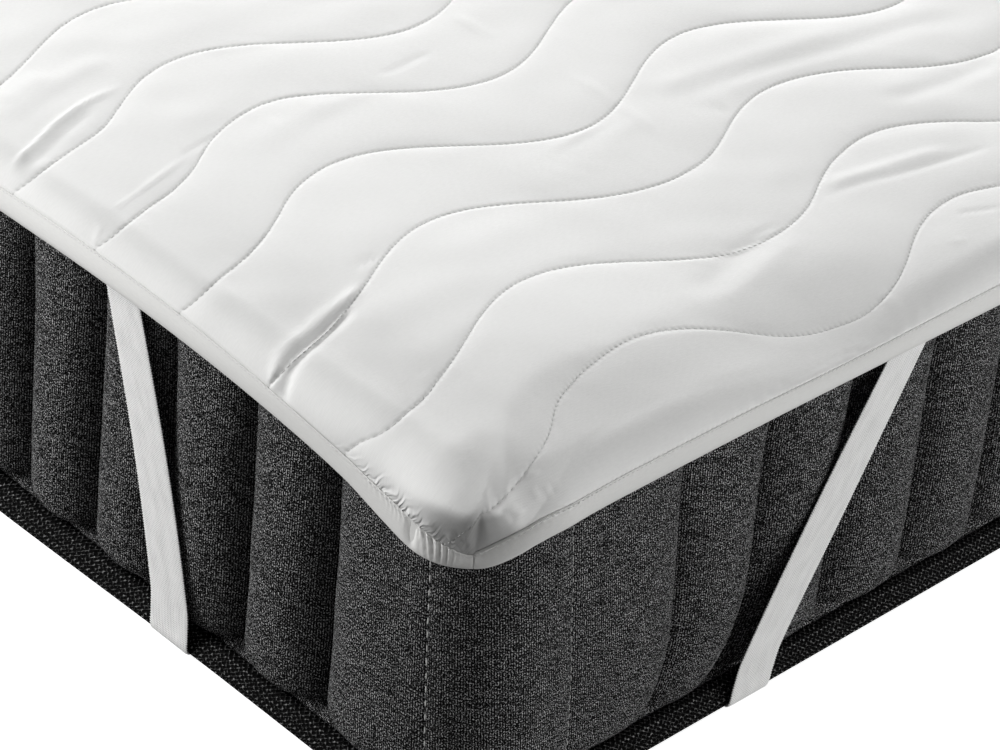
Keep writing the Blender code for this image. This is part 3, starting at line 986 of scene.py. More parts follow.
def bump(tree, height, distance, strength=1.0, normal=None):
    """Normal bent by a height, on top of another."""
    sockets = {"Height": height, "Distance": distance, "Strength": strength}
    if normal:
        sockets["Normal"] = normal
    return node(tree, "ShaderNodeBump", sockets).outputs[0]


def scaled(tree, place, x, y):
    """Places scaled by their own factors, to stretch a pattern."""
    mapping = node(tree, "ShaderNodeMapping", {"Vector": place, "Scale": (x, y, 1.0)})
    return mapping.outputs[0]


def on_cloth(tree):
    """Places on the flat cloth, in metres."""
    return node(tree, "ShaderNodeUVMap", uv_map="cloth").outputs[0]


def split(tree, place):
    """X and Y of places."""
    return node(tree, "ShaderNodeSeparateXYZ", {0: place}).outputs[:2]


def kept_number(tree, name):
    """A number kept in the points of the mesh."""
    return node(tree, "ShaderNodeAttribute", attribute_name=name).outputs["Fac"]


def noise(tree, vector, detail, roughness=0.5, scale=1.0):
    """Cloudy value of a place."""
    sockets = {"Vector": vector, "Scale": scale, "Detail": detail, "Roughness": roughness}
    return node(tree, "ShaderNodeTexNoise", sockets).outputs[0]


def ripples(tree, value, pitch):
    """Even wave between -1 and 1 that repeats at a pitch."""
    return sum_up(tree, "SINE", sum_up(tree, "MULTIPLY", value, math.tau / pitch))


def bell(tree, value, middle, reach):
    """1 where a value is at the middle, falling to 0 past its reach."""
    off = sum_up(tree, "DIVIDE", sum_up(tree, "SUBTRACT", value, middle), reach)
    return sum_up(tree, "EXPONENT", sum_up(tree, "MULTIPLY", sum_up(tree, "POWER", off, 2.0), -1.0))


def darker(colour, share):
    """A colour brought down to a share of itself."""
    return tuple(share * part for part in colour)


def cover(tree, shader, tint, normal):
    """Joins a colour and a normal to the shader."""
    tree.links.new(tint, shader.inputs["Base Color"])
    tree.links.new(normal, shader.inputs["Normal"])


def weave(tree, place):
    """Height of a plain weave on places in metres."""
    return sum_up(tree, "MULTIPLY", *(ripples(tree, part, WEAVE_PITCH) for part in split(tree, place)))


def microfibre(name, colour, stitch_pitch=0.0):
    """Brushed white cloth. On the pad it also has painted shade where it is tucked in and at its needle
    holes, and bumps where it is gathered and sewn.
    """
    finish, tree, shader = new_finish(name, roughness=0.82, sheen=0.25, specular=0.2)
    place = on_cloth(tree)
    cloudy = noise(tree, place, 3.0, scale=18.0)
    brushed = noise(tree, scaled(tree, place, 260, 900), 2.0)
    tint = blend_colour(tree, cloudy, (*darker(colour, 0.955), 1), (*colour, 1))
    tint = blend_colour(tree, 0.5, tint, ramp(tree, brushed, (0.3, 0.93), (0.7, 1.0)), "MULTIPLY")
    normal = bump(tree, weave(tree, place), 0.00004, 0.6)
    normal = bump(tree, brushed, 0.00012, 0.8, normal)
    if stitch_pitch:
        # Painted shade: the cloth tucked in below the crest of corner a is darkened in its colour.
        tint = blend_colour(tree, kept_number(tree, "painted_tuck_shade"), tint, (TUCK_PAINTED_SHADE,) * 3 + (1,), "MULTIPLY")
        normal = bump(tree, gathered(tree, place), 0.0007, 1.0, normal)
        tint, normal = sewn_lines(tree, stitch_pitch, tint, normal)
    cover(tree, shader, tint, normal)
    return finish


def sewn_lines(tree, stitch_pitch, tint, normal):
    """Colour with painted shade at the needle holes, and normal with dimples, along its stitched lines."""
    length, lines = split(tree, node(tree, "ShaderNodeUVMap", uv_map="stitching").outputs[0])
    turn = sum_up(tree, "MULTIPLY", length, math.tau / stitch_pitch)
    beat = sum_up(tree, "MULTIPLY_ADD", sum_up(tree, "COSINE", turn), 0.5, 0.5)
    off = sum_up(tree, "PINGPONG", sum_up(tree, "MULTIPLY", lines, 1 / WAVE_SPACING), 0.5)
    across = sum_up(tree, "MULTIPLY", off, WAVE_SPACING)
    # Painted shade: the needle holes darken the colour.
    hole_shade = sum_up(tree, "MULTIPLY", bell(tree, across, 0.0, HOLE_REACH), sum_up(tree, "POWER", beat, 3.0))
    tint = blend_colour(tree, sum_up(tree, "MULTIPLY", hole_shade, HOLE_SHADE_AMOUNT), tint, HOLE_COLOUR)
    dimple = sum_up(tree, "MULTIPLY", bell(tree, across, 0.0, DIMPLE_REACH), beat)
    return tint, bump(tree, sum_up(tree, "MULTIPLY", dimple, -1.0), DIMPLE_DEPTH, 1.0, normal)


def gathered(tree, place):
    """Height of the small slanting gathers at the end seam by corner a."""
    place_x, place_y = split(tree, place)
    from_end = sum_up(tree, "ADD", place_x, SEAM_X)
    from_front = sum_up(tree, "ADD", place_y, SEAM_Y)
    slant = sum_up(tree, "MULTIPLY_ADD", from_end, 1.15, from_front)
    uneven = noise(tree, scaled(tree, place, 90, 90), 1.0)
    height = None
    for pitch, reach, amount in ((0.0095, 0.0046, 1.0), (0.0041, 0.0020, 0.35)):
        turn = sum_up(tree, "MULTIPLY_ADD", slant, 1 / pitch, sum_up(tree, "MULTIPLY", uneven, 1.6))
        part = sum_up(tree, "FRACT", turn)
        fold = sum_up(tree, "SUBTRACT", bell(tree, part, 0.42, 0.12), bell(tree, part, 0.70, 0.14))
        row = sum_up(tree, "MULTIPLY", fold, bell(tree, from_end, 0.001, reach))
        row = sum_up(tree, "MULTIPLY", row, amount)
        height = row if height is None else sum_up(tree, "ADD", height, row)
    return sum_up(tree, "MULTIPLY", height, bell(tree, from_front, 0.064, 0.036))


def elastic_webbing(colour):
    """Narrow knitted elastic, pitted between its fine rows and cords, with painted shade in its pits."""
    finish, tree, shader = new_finish("elastic_webbing", roughness=0.7, sheen=0.1)
    place = on_cloth(tree)
    along, across = split(tree, place)
    rows, cords = ripples(tree, along, WEBBING_ROW), ripples(tree, across, WEBBING_CORD)
    height = sum_up(tree, "MULTIPLY", sum_up(tree, "ADD", rows, cords), 0.5)
    grain = noise(tree, scaled(tree, place, 1300, 900), 1.0)
    pit_patches = noise(tree, scaled(tree, place, 60, 160), 1.0)
    pits = sum_up(tree, "MULTIPLY_ADD", sum_up(tree, "SUBTRACT", grain, 0.5), 0.8, height)
    pits = sum_up(tree, "MULTIPLY_ADD", sum_up(tree, "SUBTRACT", pit_patches, 0.5), 1.0, pits)
    pits = sum_up(tree, "MULTIPLY_ADD", pits, 0.5, 0.5)
    # Painted shade: the pits are darker in the colour, besides their bump, and patchy noise sets where
    # they show.
    dark = darker(colour, WEBBING_SHADE)
    tint = blend_colour(tree, ramp(tree, pits, (0.10, 0.0), (0.42, 1.0)), (*dark, 1), (*colour, 1))
    cover(tree, shader, tint, bump(tree, grain, 0.0001, 0.5, bump(tree, height, 0.00012, 0.8)))
    return finish


def marled_knit(dark, light):
    """Dark knit of mixed fibres, with painted shade in its pores. Its pockets deepen away from the
    corners, where it is stretched flat.
    """
    finish, tree, shader = new_finish("marled_knit", roughness=0.9, specular=0.01)
    place, pocketed = on_cloth(tree), kept_number(tree, "pocketed")
    fibres = noise(tree, scaled(tree, place, 1250, 1050), 1.0, 0.6)
    patches = noise(tree, scaled(tree, place, 90, 240), 2.0)
    slits = noise(tree, scaled(tree, place, 110, 560), 1.0)
    columns = ripples(tree, split(tree, place)[0], KNIT_COLUMN)
    flecks = sum_up(tree, "MULTIPLY_ADD", columns, 0.06, fibres)
    flecks = sum_up(tree, "MULTIPLY_ADD", sum_up(tree, "SUBTRACT", patches, 0.5), 0.14, flecks)
    pores = node(
        tree,
        "ShaderNodeTexVoronoi",
        {"Vector": scaled(tree, place, 250, 185), "Scale": 1.0, "Randomness": 0.85},
    ).outputs["Distance"]
    pore = sum_up(tree, "SUBTRACT", 1.0, ramp(tree, pores, (0.05, 0.0), (0.42, 1.0)))
    pore = sum_up(tree, "MULTIPLY", pore, pocketed)
    slit = sum_up(tree, "SUBTRACT", 1.0, ramp(tree, slits, (0.27, 0.0), (0.36, 1.0)))
    slit = sum_up(tree, "MULTIPLY", slit, sum_up(tree, "SUBTRACT", 1.0, pocketed))
    low, middle = darker(light, 0.040), darker(light, 0.15)
    stops = ((0.40, (0.0, 0.0, 0.0)), (0.47, dark), (0.52, low), (0.585, middle), (0.69, light))
    tint = ramp(tree, flecks, *stops)
    # Painted shade: the pores are darkened toward black in the colour, besides their bump.
    tint = blend_colour(tree, sum_up(tree, "MULTIPLY", pore, 0.62), tint, BLACK)
    tint = blend_colour(tree, sum_up(tree, "MULTIPLY", slit, 0.8), tint, BLACK)
    normal = bump(tree, sum_up(tree, "MULTIPLY", pore, -1.0), 0.0014, 1.0)
    normal = bump(tree, fibres, 0.0005, 0.9, normal)
    cover(tree, shader, tint, bump(tree, columns, 0.00010, 0.5, normal))
    return finish


def ribbed_tape(dark, light):
    """Black woven tape whose ribs are rows of slanting yarns, with painted shade across each rib."""
    finish, tree, shader = new_finish("ribbed_tape", roughness=0.7, specular=0.03)
    place = on_cloth(tree)
    along, across = split(tree, place)
    cells = None
    for slant in (-TAPE_CELL_HEIGHT, TAPE_CELL_HEIGHT):
        lengthwise = sum_up(tree, "MULTIPLY", along, 1 / TAPE_CELL_LENGTH)
        yarn = ripples(tree, sum_up(tree, "MULTIPLY_ADD", across, 1 / slant, lengthwise), 2.0)
        cells = yarn if cells is None else sum_up(tree, "MULTIPLY", cells, yarn)
    net = sum_up(tree, "SUBTRACT", 1.0, sum_up(tree, "ABSOLUTE", cells))
    ribs = ripples(tree, across, TAPE_RIB_PITCH)
    grain = noise(tree, scaled(tree, place, 700, 900), 1.0)
    # The ribs add painted shade across each rib to the colour, besides the bump.
    mixed = sum_up(tree, "MULTIPLY_ADD", ribs, 0.035, sum_up(tree, "MULTIPLY", grain, 0.5))
    mixed = sum_up(tree, "MULTIPLY_ADD", net, 0.5, mixed)
    tint = ramp(tree, mixed, (0.66, dark), (0.74, darker(light, 0.16)), (0.86, light))
    cover(tree, shader, tint, bump(tree, mixed, 0.0007, 1.0))
    return finish


def thread_finish(name, colour):
    """Twisted thread."""
    finish, tree, shader = new_finish(name, roughness=0.6, sheen=0.1)
    place = node(tree, "ShaderNodeTexCoord").outputs["Object"]
    twist = noise(tree, place, 2.0, scale=2500.0)
    tint = blend_colour(tree, twist, (*darker(colour, 0.82), 1), (*colour, 1))
    cover(tree, shader, tint, bump(tree, twist, 0.0001, 0.5))
    return finish


def paper_floor(colour, glow):
    """Pale paper that glows a little."""
    finish, tree, shader = new_finish("pale_floor", roughness=0.9, specular=0.1)
    place = node(tree, "ShaderNodeTexCoord").outputs["Object"]
    tint = blend_colour(
        tree, noise(tree, place, 2.0, scale=1.5), (*darker(colour, 0.985), 1), (*colour, 1)
    )
    tree.links.new(tint, shader.inputs["Base Color"])
    shader.inputs["Emission Color"].default_value = (1, 1, 1, 1)
    shader.inputs["Emission Strength"].default_value = glow
    return finish


# ---------------------------------------------------------------- quilted pad


def pad_rows():
    """Rows of the pad as (number of the line before it, share of the way to the next)."""
    rows = [(-1, share) for share in graded(1.0, FRONT_STEPS)[:-1]]
    for line in range(WAVE_LINES - 1):
        if line in FINE_CHANNELS:
            shares = FINE_SHARES
        else:
            half = CLOSE_SHARES if line < FIRST_COARSE else COARSE_SHARES
            shares = [*half, 0.5, *(1 - share for share in reversed(half[1:]))]
        rows += [(line, share) for share in shares]
    rows += [(WAVE_LINES - 1, 1 - share) for share in reversed(graded(1.0, BACK_STEPS)[1:])]
    return [*rows, (WAVE_LINES - 1, 1.0)]


def row_place(line, share, x):
    """Flat Y of a row, and the width of the channel that it lies in."""
    low = np.full_like(x, -SEAM_Y) if line < 0 else line_place(line, x)
    high = np.full_like(x, SEAM_Y) if line >= WAVE_LINES - 1 else line_place(line + 1, x)
    return low + (high - low) * share, high - low


def channel_filling(x, y, number, width):
    """Fullness of the pad's channels, and their rise from its end seams."""
    fullness = 1 + 0.10 * soft_noise(x / 0.13, number * 3.7, 5) + 0.06 * soft_noise(x / 0.045, y / 0.05, 6)
    fullness *= np.minimum(1, (width / WAVE_SPACING) ** 0.6)
    ends = rounded_rise(np.clip((SEAM_X - np.abs(x)) / CHANNEL_END_RISE, 0, 0.5), *CHANNEL_END_SHAPE)
    from_end, from_front = from_seams(x, y)
    by_tip = smooth((0.050 - from_front) / 0.025)
    ends = ends + (smooth((from_end - 0.006) / 0.034) - ends) * by_tip
    flatter = 0.55 * hump(from_end, 0.10, 0.13)
    filled = LEAST_FULL + FULL_ADDED * smooth((from_end - FULL_FROM) / FULL_OVER)
    return fullness * (np.where(number < 0, 1 - flatter, 1) * filled), ends


def pad_surface(crown, pucker):
    """Flat places, lifts and stitching places of the pad's top, as arrays by column and row."""
    columns, rows = -SEAM_X + graded(2 * SEAM_X, COLUMN_STEPS), pad_rows()
    x = np.repeat(columns[:, None], len(rows), axis=1)
    y, share, width, number = (np.zeros_like(x) for _ in range(4))
    for index, (line, part) in enumerate(rows):
        y[:, index], width[:, index] = row_place(line, part, columns)
        share[:, index] = part
        number[:, index] = line
    across = np.minimum(share, 1 - share) * width
    along = np.concatenate([[0], np.cumsum(np.hypot(np.diff(columns), np.diff(wave(columns))))])
    along = np.repeat(along[:, None], len(rows), axis=1)
    end_seam = SEAM_X - np.abs(x)

    fullness, ends = channel_filling(x, y, number, width)
    lift = crown * rounded_rise(share, *CHANNEL_SHAPE) * fullness * ends
    wrinkle = soft_noise(along / PUCKER_PITCH + number * 31, across / 0.012, 8)
    wrinkle *= np.exp(-across / PUCKER_REACH) * (1 - np.exp(-across / PUCKER_START))
    lift += pucker * wrinkle * (0.6 + 0.4 * soft_noise(x / 0.06, y / 0.06, 9)) * smooth(end_seam / 0.02)
    lift += UNEVEN_RISE * soft_noise(x / 0.030, y / 0.022, 10) * smooth(across / 0.012)
    lift -= GROOVE_DEPTH * hump(across, 0, GROOVE_WIDTH) * smooth(end_seam / 0.004)
    lift += crease_lift(x, y) * smooth(across / 0.0025) * smooth(end_seam / 0.003)
    lift += seam_gathers(x, y)
    stitching = np.stack([along, number * WAVE_SPACING + share * WAVE_SPACING], axis=-1)
    return x, y, lift, stitching


def tongue_edge(place, seam, half):
    """Flat places of the pad's seam, moved out to the edge of its tongue inside the binding."""
    return np.where(np.isclose(np.abs(place), seam), np.sign(place) * (half - TONGUE_DEPTH), place)


def build_pad(settings, finish):
    """The quilted pad, closed below, with a thin tongue all round that the binding holds."""
    x, y, lift, stitching = pad_surface(settings.crown, settings.pucker)
    columns, rows = x.shape
    edge = np.zeros_like(x, bool)
    edge[[0, -1], :] = True
    edge[:, [0, -1]] = True
    lift = np.where(edge, SEAM_LIFT, lift)
    points = [drape(x, y, lift).reshape(-1, 3)]
    cloth = [np.stack([x, y], axis=-1).reshape(-1, 2)]
    stitched = [stitching.reshape(-1, 2)]
    faces = grid_faces(columns, rows)

    ring = edge_ring(columns, rows)
    seam_x, seam_y = x[ring[:, 0], ring[:, 1]], y[ring[:, 0], ring[:, 1]]
    hem_x, hem_y = tongue_edge(seam_x, SEAM_X, HALF_X), tongue_edge(seam_y, SEAM_Y, HALF_Y)
    under_x, under_y = seam_x + (hem_x - seam_x) * TONGUE_STEP, seam_y + (hem_y - seam_y) * TONGUE_STEP
    loops = [(under_x, under_y, TONGUE_TOP), (hem_x, hem_y, TONGUE_TOP)]
    loops += [(hem_x, hem_y, TONGUE_BOTTOM), (seam_x, seam_y, TONGUE_BOTTOM)]
    for inset in UNDER_RINGS:
        shrunk_x, shrunk_y = seam_x * (1 - inset / SEAM_X), seam_y * (1 - inset / SEAM_Y)
        loops.append((shrunk_x, shrunk_y, -PAD_THICKNESS))
    size = len(ring)
    before = ring[:, 0] * rows + ring[:, 1]
    count = columns * rows
    for loop_x, loop_y, loop_lift in loops:
        points.append(drape(loop_x, loop_y, loop_lift))
        flat = np.stack([loop_x, loop_y], axis=-1)
        cloth.append(flat)
        stitched.append(np.zeros_like(flat) + WAVE_SPACING / 2)
        here = count + np.arange(size)
        after = np.roll(np.arange(size), -1)
        faces += list(zip(before[after], before, here, here[after]))
        before, count = here, count + size
    faces.append(list(reversed(before)))
    places = {"cloth": np.concatenate(cloth), "stitching": np.concatenate(stitched)}
    mesh = make_mesh("quilted_pad_top", np.concatenate(points), faces, finish, places)
    # Painted shade of the tucked cloth, kept in the points of the pad's top for its finish.
    depth = np.zeros(len(mesh.vertices))
    depth[: x.size] = painted_tuck_shade(x, y).ravel()
    keep_number(mesh, "painted_tuck_shade", depth)
    pad = put("pad", mesh)
    dress(pad, "quilt", "quilted_pad")
    return pad


# ---------------------------------------------------------------- binding


def binding_section():
    """Folded strip round the pad's edge, as depth in from the fold and lift, outer face first."""
    width, under, leaf = BINDING_WIDTH, -PAD_THICKNESS, 0.0010
    outer = [
        (width, -0.00025),
        (width - 0.0002, 0.00005),
        (width - 0.0005, 0.00015),
        (width - 0.0009, 0.00010),
        (width - 0.0012, 0.00005),
        (width - 0.0016, 0.00005),
        (width - 0.0020, 0.00010),
        (width - 0.0024, 0.00015),
        (width - 0.0029, 0.00025),
        (width - 0.0055, 0.0004),
        (width / 2, 0.0004),
        (0.0048, 0.0003),
        (0.0030, 0.0000),
        (0.0014, -0.0006),
        (0.0004, -0.0015),
        (0.0000, -0.0026),
        (0.0004, -0.0037),
        (0.0014, -0.0046),
        (0.0030, under),
        (width / 2, under),
        (width, under),
    ]
    inner = [
        (width, under + leaf),
        (width / 2, under + leaf),
        (0.0024, under + leaf + 0.0002),
        (0.0011, -0.0026),
        (0.0024, -leaf - 0.0002),
        (width / 2, -leaf),
        (width - 0.0014, -leaf - 0.0001),
        (width - 0.0002, -0.0004),
    ]
    return outer, inner


def binding_stations(half):
    """Places along a strip, closest where it meets corner a."""
    length = 2 * half
    rules = ((0, 0.0007), (0.09, 0.0007), (0.13, 0.0018), (0.25, 0.004), (0.7, 0.008))
    rules += ((length - 0.1, 0.008), (length, 0.003))
    return -half + graded(length, rules)


def binding_gathers(along_x, from_corner, depth):
    """Lift of the binding by corner a: its pleats, its mitre and the ridge along its seam."""
    slant = from_corner - 0.83 * depth
    uneven = soft_noise(slant / 0.012, slant * 0 + 1.3, 31)
    inner = smooth(depth / BINDING_WIDTH)
    mitre = 0.0009 * hump(from_corner, depth, 0.0016) * smooth((depth - 0.002) / 0.006)
    if along_x:
        pleats = 0.00018 * gather(slant / 0.0065 + 0.3 * uneven) * inner * np.exp(-from_corner / 0.4)
        ridge = 0.0011 * hump(depth, 0.0141, 0.0006)
        groove = 0.0009 * hump(depth, 0.0126, 0.0005)
        return pleats - mitre + hump(from_corner, 0.040, 0.030) * (ridge - groove)
    by_corner = np.exp(-(((slant - 0.040) / 0.017) ** 4)) * (0.8 + 0.3 * uneven)
    along_seam = hump(from_corner, 0.085, 0.050)
    reach = smooth((depth - 0.0010) / 0.0060)
    pleats = np.sin(math.tau * (slant / 0.0065 + 0.25 * uneven))
    hollow = 0.0020 * hump(from_corner, 0.0745, 0.0045) * reach
    small = gather(slant / 0.0038 + 0.4 * uneven)
    return pleats * 0.0010 * by_corner * reach + small * 0.0004 * along_seam * inner**3 - mitre - hollow


def build_binding(name, along_x, side, finish):
    """One side's folded strip, cut at a slant where it meets the next at a corner."""
    half, across_half = (HALF_X, HALF_Y) if along_x else (HALF_Y, HALF_X)
    stations = binding_stations(half)
    outer, inner = binding_section()
    section = np.array(outer + inner)
    count, size = len(stations), len(section)
    depth = np.repeat(section[None, :, 0], count, axis=0)
    lift = np.repeat(section[None, :, 1], count, axis=0)
    mitre = half - depth - MITRE_GAP
    along = np.clip(stations[:, None], -mitre, mitre)
    if side < 0:
        shown = np.arange(size) < len(outer) - 4  # The under side stays even
        lift = lift + np.where(shown, binding_gathers(along_x, along + half, depth), 0)
    across = side * (across_half - depth)
    flat_x, flat_y = (along, across) if along_x else (across, along)
    points = drape(flat_x, flat_y, lift).reshape(-1, 3)
    faces = strip_faces(count, size, turned=(side > 0) == along_x)
    cloth = np.stack([along, depth], axis=-1).reshape(-1, 2)
    mesh = make_mesh(name, points, faces, finish, {"cloth": cloth})
    set_sharp(mesh, 70)
    strip = put(name.replace("binding", "hem_strip"), mesh)
    dress(strip, "binding", name)
    return strip


# ---------------------------------------------------------------- elastic bands


def wall_point(corner, on_end_wall, along, inset, height):
    """Point by a wall, from its distance along it from the corner and in from its plane."""
    _, side_x, side_y, _ = corner
    if on_end_wall:
        return (side_x * (LENGTH / 2 - inset), side_y * (WIDTH / 2 - along), height)
    return (side_x * (LENGTH / 2 - along), side_y * (WIDTH / 2 - inset), height)


def band_edges(corner):
    """The two edges of a band: under the hem, down one wall, under the corner, up the other."""
    near, far = [], []
    for on_end_wall, plan in ((True, BAND_END_WALL), (False, BAND_LONG_WALL)):
        top_middle, top_width, foot_middle, foot_width, bow, lift = plan
        wall = []
        for inset, height, share in BAND_DESCENT:
            between = 4 * share * (1 - share)
            middle = top_middle + (foot_middle - top_middle) * share - bow * between
            half = (top_width + (foot_width - top_width) * share) / 2
            wall.append(
                [
                    wall_point(corner, on_end_wall, middle - half, inset, height),
                    wall_point(corner, on_end_wall, middle + half, inset - lift * between, height),
                ]
            )
        if not on_end_wall:
            wall.reverse()
        near += [pair[0] for pair in wall]
        far += [pair[1] for pair in wall]
    return np.array(near), np.array(far)


def evenly(route, step):
    """Places of even spacing along a route, as fractional indexes into its points, and its length."""
    lengths = np.concatenate([[0], np.cumsum(np.linalg.norm(np.diff(route, axis=0), axis=1))])
    count = max(2, round(lengths[-1] / step))
    places = np.interp(np.linspace(0, lengths[-1], count + 1), lengths, np.arange(len(route)))
    return places, lengths[-1]


def build_band(corner, finish):
    """The elastic band across a corner, with fine teeth along its edges."""
    near, far = (smooth_route(edge, per_span=12) for edge in band_edges(corner))
    spots, length = evenly((near + far) / 2, BAND_STEP)
    steps = np.arange(len(near))
    near, far = (
        np.stack([np.interp(spots, steps, edge[:, axis]) for axis in range(3)], axis=1)
        for edge in (near, far)
    )
    across = far - near
    width = np.linalg.norm(across, axis=1, keepdims=True)
    across /= width
    ahead = np.gradient((near + far) / 2, axis=0)
    normal = np.cross(across, ahead)
    normal /= np.linalg.norm(normal, axis=1, keepdims=True)
    outward = normal[0] @ np.array([corner[1], corner[2], 0.0])
    normal *= np.sign(outward)
    half = BAND_THICKNESS / 2
    tooth = BAND_TOOTH * (np.arange(len(spots)) % 2)[:, None]
    along = np.linspace(0, length, len(spots))
    rows, places = [], []
    for share, level in BAND_SECTION:
        outer = 1 - smooth(min(share, 1 - share) / BAND_EDGE)
        reach = share * width + (tooth * outer if share < 0.5 else -tooth * outer)
        rows.append(near + across * reach + normal * half * level)
        places.append(np.stack([along, reach[:, 0]], axis=-1))
    points = np.stack(rows, axis=1).reshape(-1, 3)
    cloth = np.stack(places, axis=1).reshape(-1, 2)
    faces = strip_faces(len(spots), len(BAND_SECTION), turned=outward * corner[1] * corner[2] > 0)
    name = "elastic_band_" + corner[0]
    mesh = make_mesh(name, points, faces, finish, {"cloth": cloth})
    set_sharp(mesh, 50)
    band = put("corner_elastic_" + corner[0], mesh)
    dress(band, "elastic", name)
    return band


# ---------------------------------------------------------------- mattress


def wall_place(around, inset):
    """Points in plan and outward directions at distances round the wall from the middle of corner a."""
    straight_x, straight_y = LENGTH - 2 * CORNER_RADIUS, WIDTH - 2 * CORNER_RADIUS
    arc = 2 * QUARTER_ARC
    turn = np.mod(np.mod(around, PERIMETER) + QUARTER_ARC, PERIMETER)
    starts = np.concatenate([[0], np.cumsum((arc, straight_x, arc, straight_y) * 2)])
    index = np.clip(np.searchsorted(starts, turn, side="right") - 1, 0, 7)
    part = turn - starts[index]
    centre_x, centre_y = LENGTH / 2 - CORNER_RADIUS, WIDTH / 2 - CORNER_RADIUS
    corner_x = np.array([-1, 1, 1, -1])[index // 2] * centre_x
    corner_y = np.array([-1, -1, 1, 1])[index // 2] * centre_y
    start_angle = np.pi + index // 2 * QUARTER
    on_arc = index % 2 == 0
    angle = start_angle + np.where(on_arc, part / CORNER_RADIUS, QUARTER)
    out = np.stack([np.cos(angle), np.sin(angle)], axis=-1)
    ahead = np.stack([-out[..., 1], out[..., 0]], axis=-1)
    base = np.stack([corner_x, corner_y], axis=-1)
    run = np.where(on_arc, 0.0, part)
    return base + out * (CORNER_RADIUS - inset)[..., None] + ahead * run[..., None], out


def channel_places(pitch):
    """Distances round the wall of all upright channels at their top and foot, and their depth."""
    near = list(CHANNELS_NEAR)
    start, stop = near[-1][0], near[0][0] + PERIMETER
    count = round((stop - start) / pitch)
    arc = 2 * QUARTER_ARC
    long_run, short_run = LENGTH - 2 * CORNER_RADIUS + arc, WIDTH - 2 * CORNER_RADIUS + arc
    corners = (long_run, long_run + short_run, 2 * long_run + short_run)
    rest = []
    for index in range(1, count):
        place = start + (stop - start) * index / count
        place += CHANNEL_WANDER * float(soft_noise(np.array(place / 0.05), np.array(0.5), 41))
        off_corner = min(abs(place - corner) for corner in corners)
        uneven = float(soft_noise(np.array(place / 0.09), np.array(2.5), 42))
        lean = CHANNEL_LEAN + CHANNEL_LEAN * uneven
        away = float(smooth((off_corner - 0.03) / 0.09))
        rest.append((place, place + lean, CHANNEL_AT_CORNER + (1 - CHANNEL_AT_CORNER) * away))
    return near + rest


def border_columns(grooves):
    """Places round the wall at the top and the foot, the share across its panel and the depth of each."""
    shares = [*CHANNEL_SHARES, 0.5, *(1 - share for share in reversed(CHANNEL_SHARES[1:]))]
    columns = []
    for index, (top, foot, deep) in enumerate(grooves):
        next_top, next_foot, next_deep = grooves[(index + 1) % len(grooves)]
        gap_top, gap_foot = (next_top - top) % PERIMETER, (next_foot - foot) % PERIMETER
        for share in shares:
            depth = deep + (next_deep - deep) * float(smooth(share))
            columns.append((top + gap_top * share, foot + gap_foot * share, share, depth))
    return np.array(columns).T


def leaning(top, foot, height):
    """Distance round the wall of a leaning channel at a height, with the turn some take at their foot."""
    turned = table_curve(FOOT_TURNS, top) * np.clip(1 - height / FOOT_TURN_HEIGHT, 0, 1) ** 2
    down = np.clip((CHANNEL_TOP - height) / (CHANNEL_TOP - CHANNEL_FOOT), *LEAN_RANGE)
    return turned + top + (foot - top) * down


def border_inset(around, part, depth, height):
    """Inset of the mattress's side from the wall plane, with its panels and channels."""
    groove = 1 - rounded_rise(part, *PANEL_SHAPE)
    level = height - CHANNEL_RISE * groove * np.minimum(depth, 1)
    straight = LENGTH - 2 * CORNER_RADIUS
    turn = np.mod(around + PERIMETER / 2, PERIMETER) - PERIMETER / 2
    on_long = smooth((turn + 0.02) / 0.06) * smooth((straight + 2 * QUARTER_ARC - turn) / 0.06)
    crest_end, crest_long = table_curve(BORDER_PROFILE, level), table_curve(BORDER_PROFILE, level, 2)
    crest = crest_end + (crest_long - crest_end) * on_long
    deep = table_curve(BORDER_PROFILE, height, 3)
    uneven = PANEL_UNEVEN * soft_noise(around / 0.035, height / 0.03, 50)
    uneven = uneven * smooth((height - 0.03) / 0.03) * smooth((0.17 - height) / 0.03)
    return crest + deep * groove * depth + uneven


def build_mattress(settings, finish):
    """The mattress inside the cover: side panels between upright channels, and a rounded top edge."""
    top, foot, part, depth = border_columns(channel_places(settings.channel_pitch))
    columns = len(top)
    rings = []
    for height in BORDER_LEVELS:
        level = np.full(columns, height)
        around = leaning(top, foot, level)
        if height < BORDER_START:
            inset = np.full(columns, FOOT_INSETS[0] if height == BORDER_LEVELS[0] else FOOT_INSETS[1])
        else:
            inset = border_inset(around, part, depth, level)
        plan, _ = wall_place(around, inset)
        rings.append(np.concatenate([plan, level[:, None]], axis=1))
    top_inset = inset
    for step in range(1, TOP_RINGS + 1):
        angle = step / TOP_RINGS * QUARTER
        inset = top_inset + MATTRESS_EDGE_RUN * (1 - math.cos(angle)) * MATTRESS_EDGE_STRETCH
        level = np.full(columns, MATTRESS_TOP - (MATTRESS_TOP - height) * (1 - math.sin(angle)))
        plan, _ = wall_place(around, inset)
        rings.append(np.concatenate([plan, level[:, None]], axis=1))
    surface = np.stack(rings, axis=1)
    rows = len(rings)
    across = np.linalg.norm(np.diff(surface[:, rows // 2], axis=0), axis=1)
    upward = np.linalg.norm(np.diff(surface, axis=1), axis=2)
    cloth = np.zeros((columns, rows, 2))
    cloth[1:, :, 0] = np.cumsum(across)[:, None]
    cloth[:, 1:, 1] = np.cumsum(upward, axis=1)
    points = surface.reshape(-1, 3)
    faces = [list(face) for face in grid_faces(columns, rows, wrap=True)]
    faces.append([column * rows for column in reversed(range(columns))])
    faces.append([column * rows + rows - 1 for column in range(columns)])
    mesh = make_mesh("mattress_border", points, faces, finish, {"cloth": cloth.reshape(-1, 2)})
    from_corner = np.abs(np.mod(top + PERIMETER / 2, PERIMETER) - PERIMETER / 2)
    keep_number(mesh, "pocketed", np.repeat(smooth((from_corner - 0.07) / 0.12), rows))
    border = put("border", mesh)
    dress(border, "mattress_knit", "mattress")
    return border


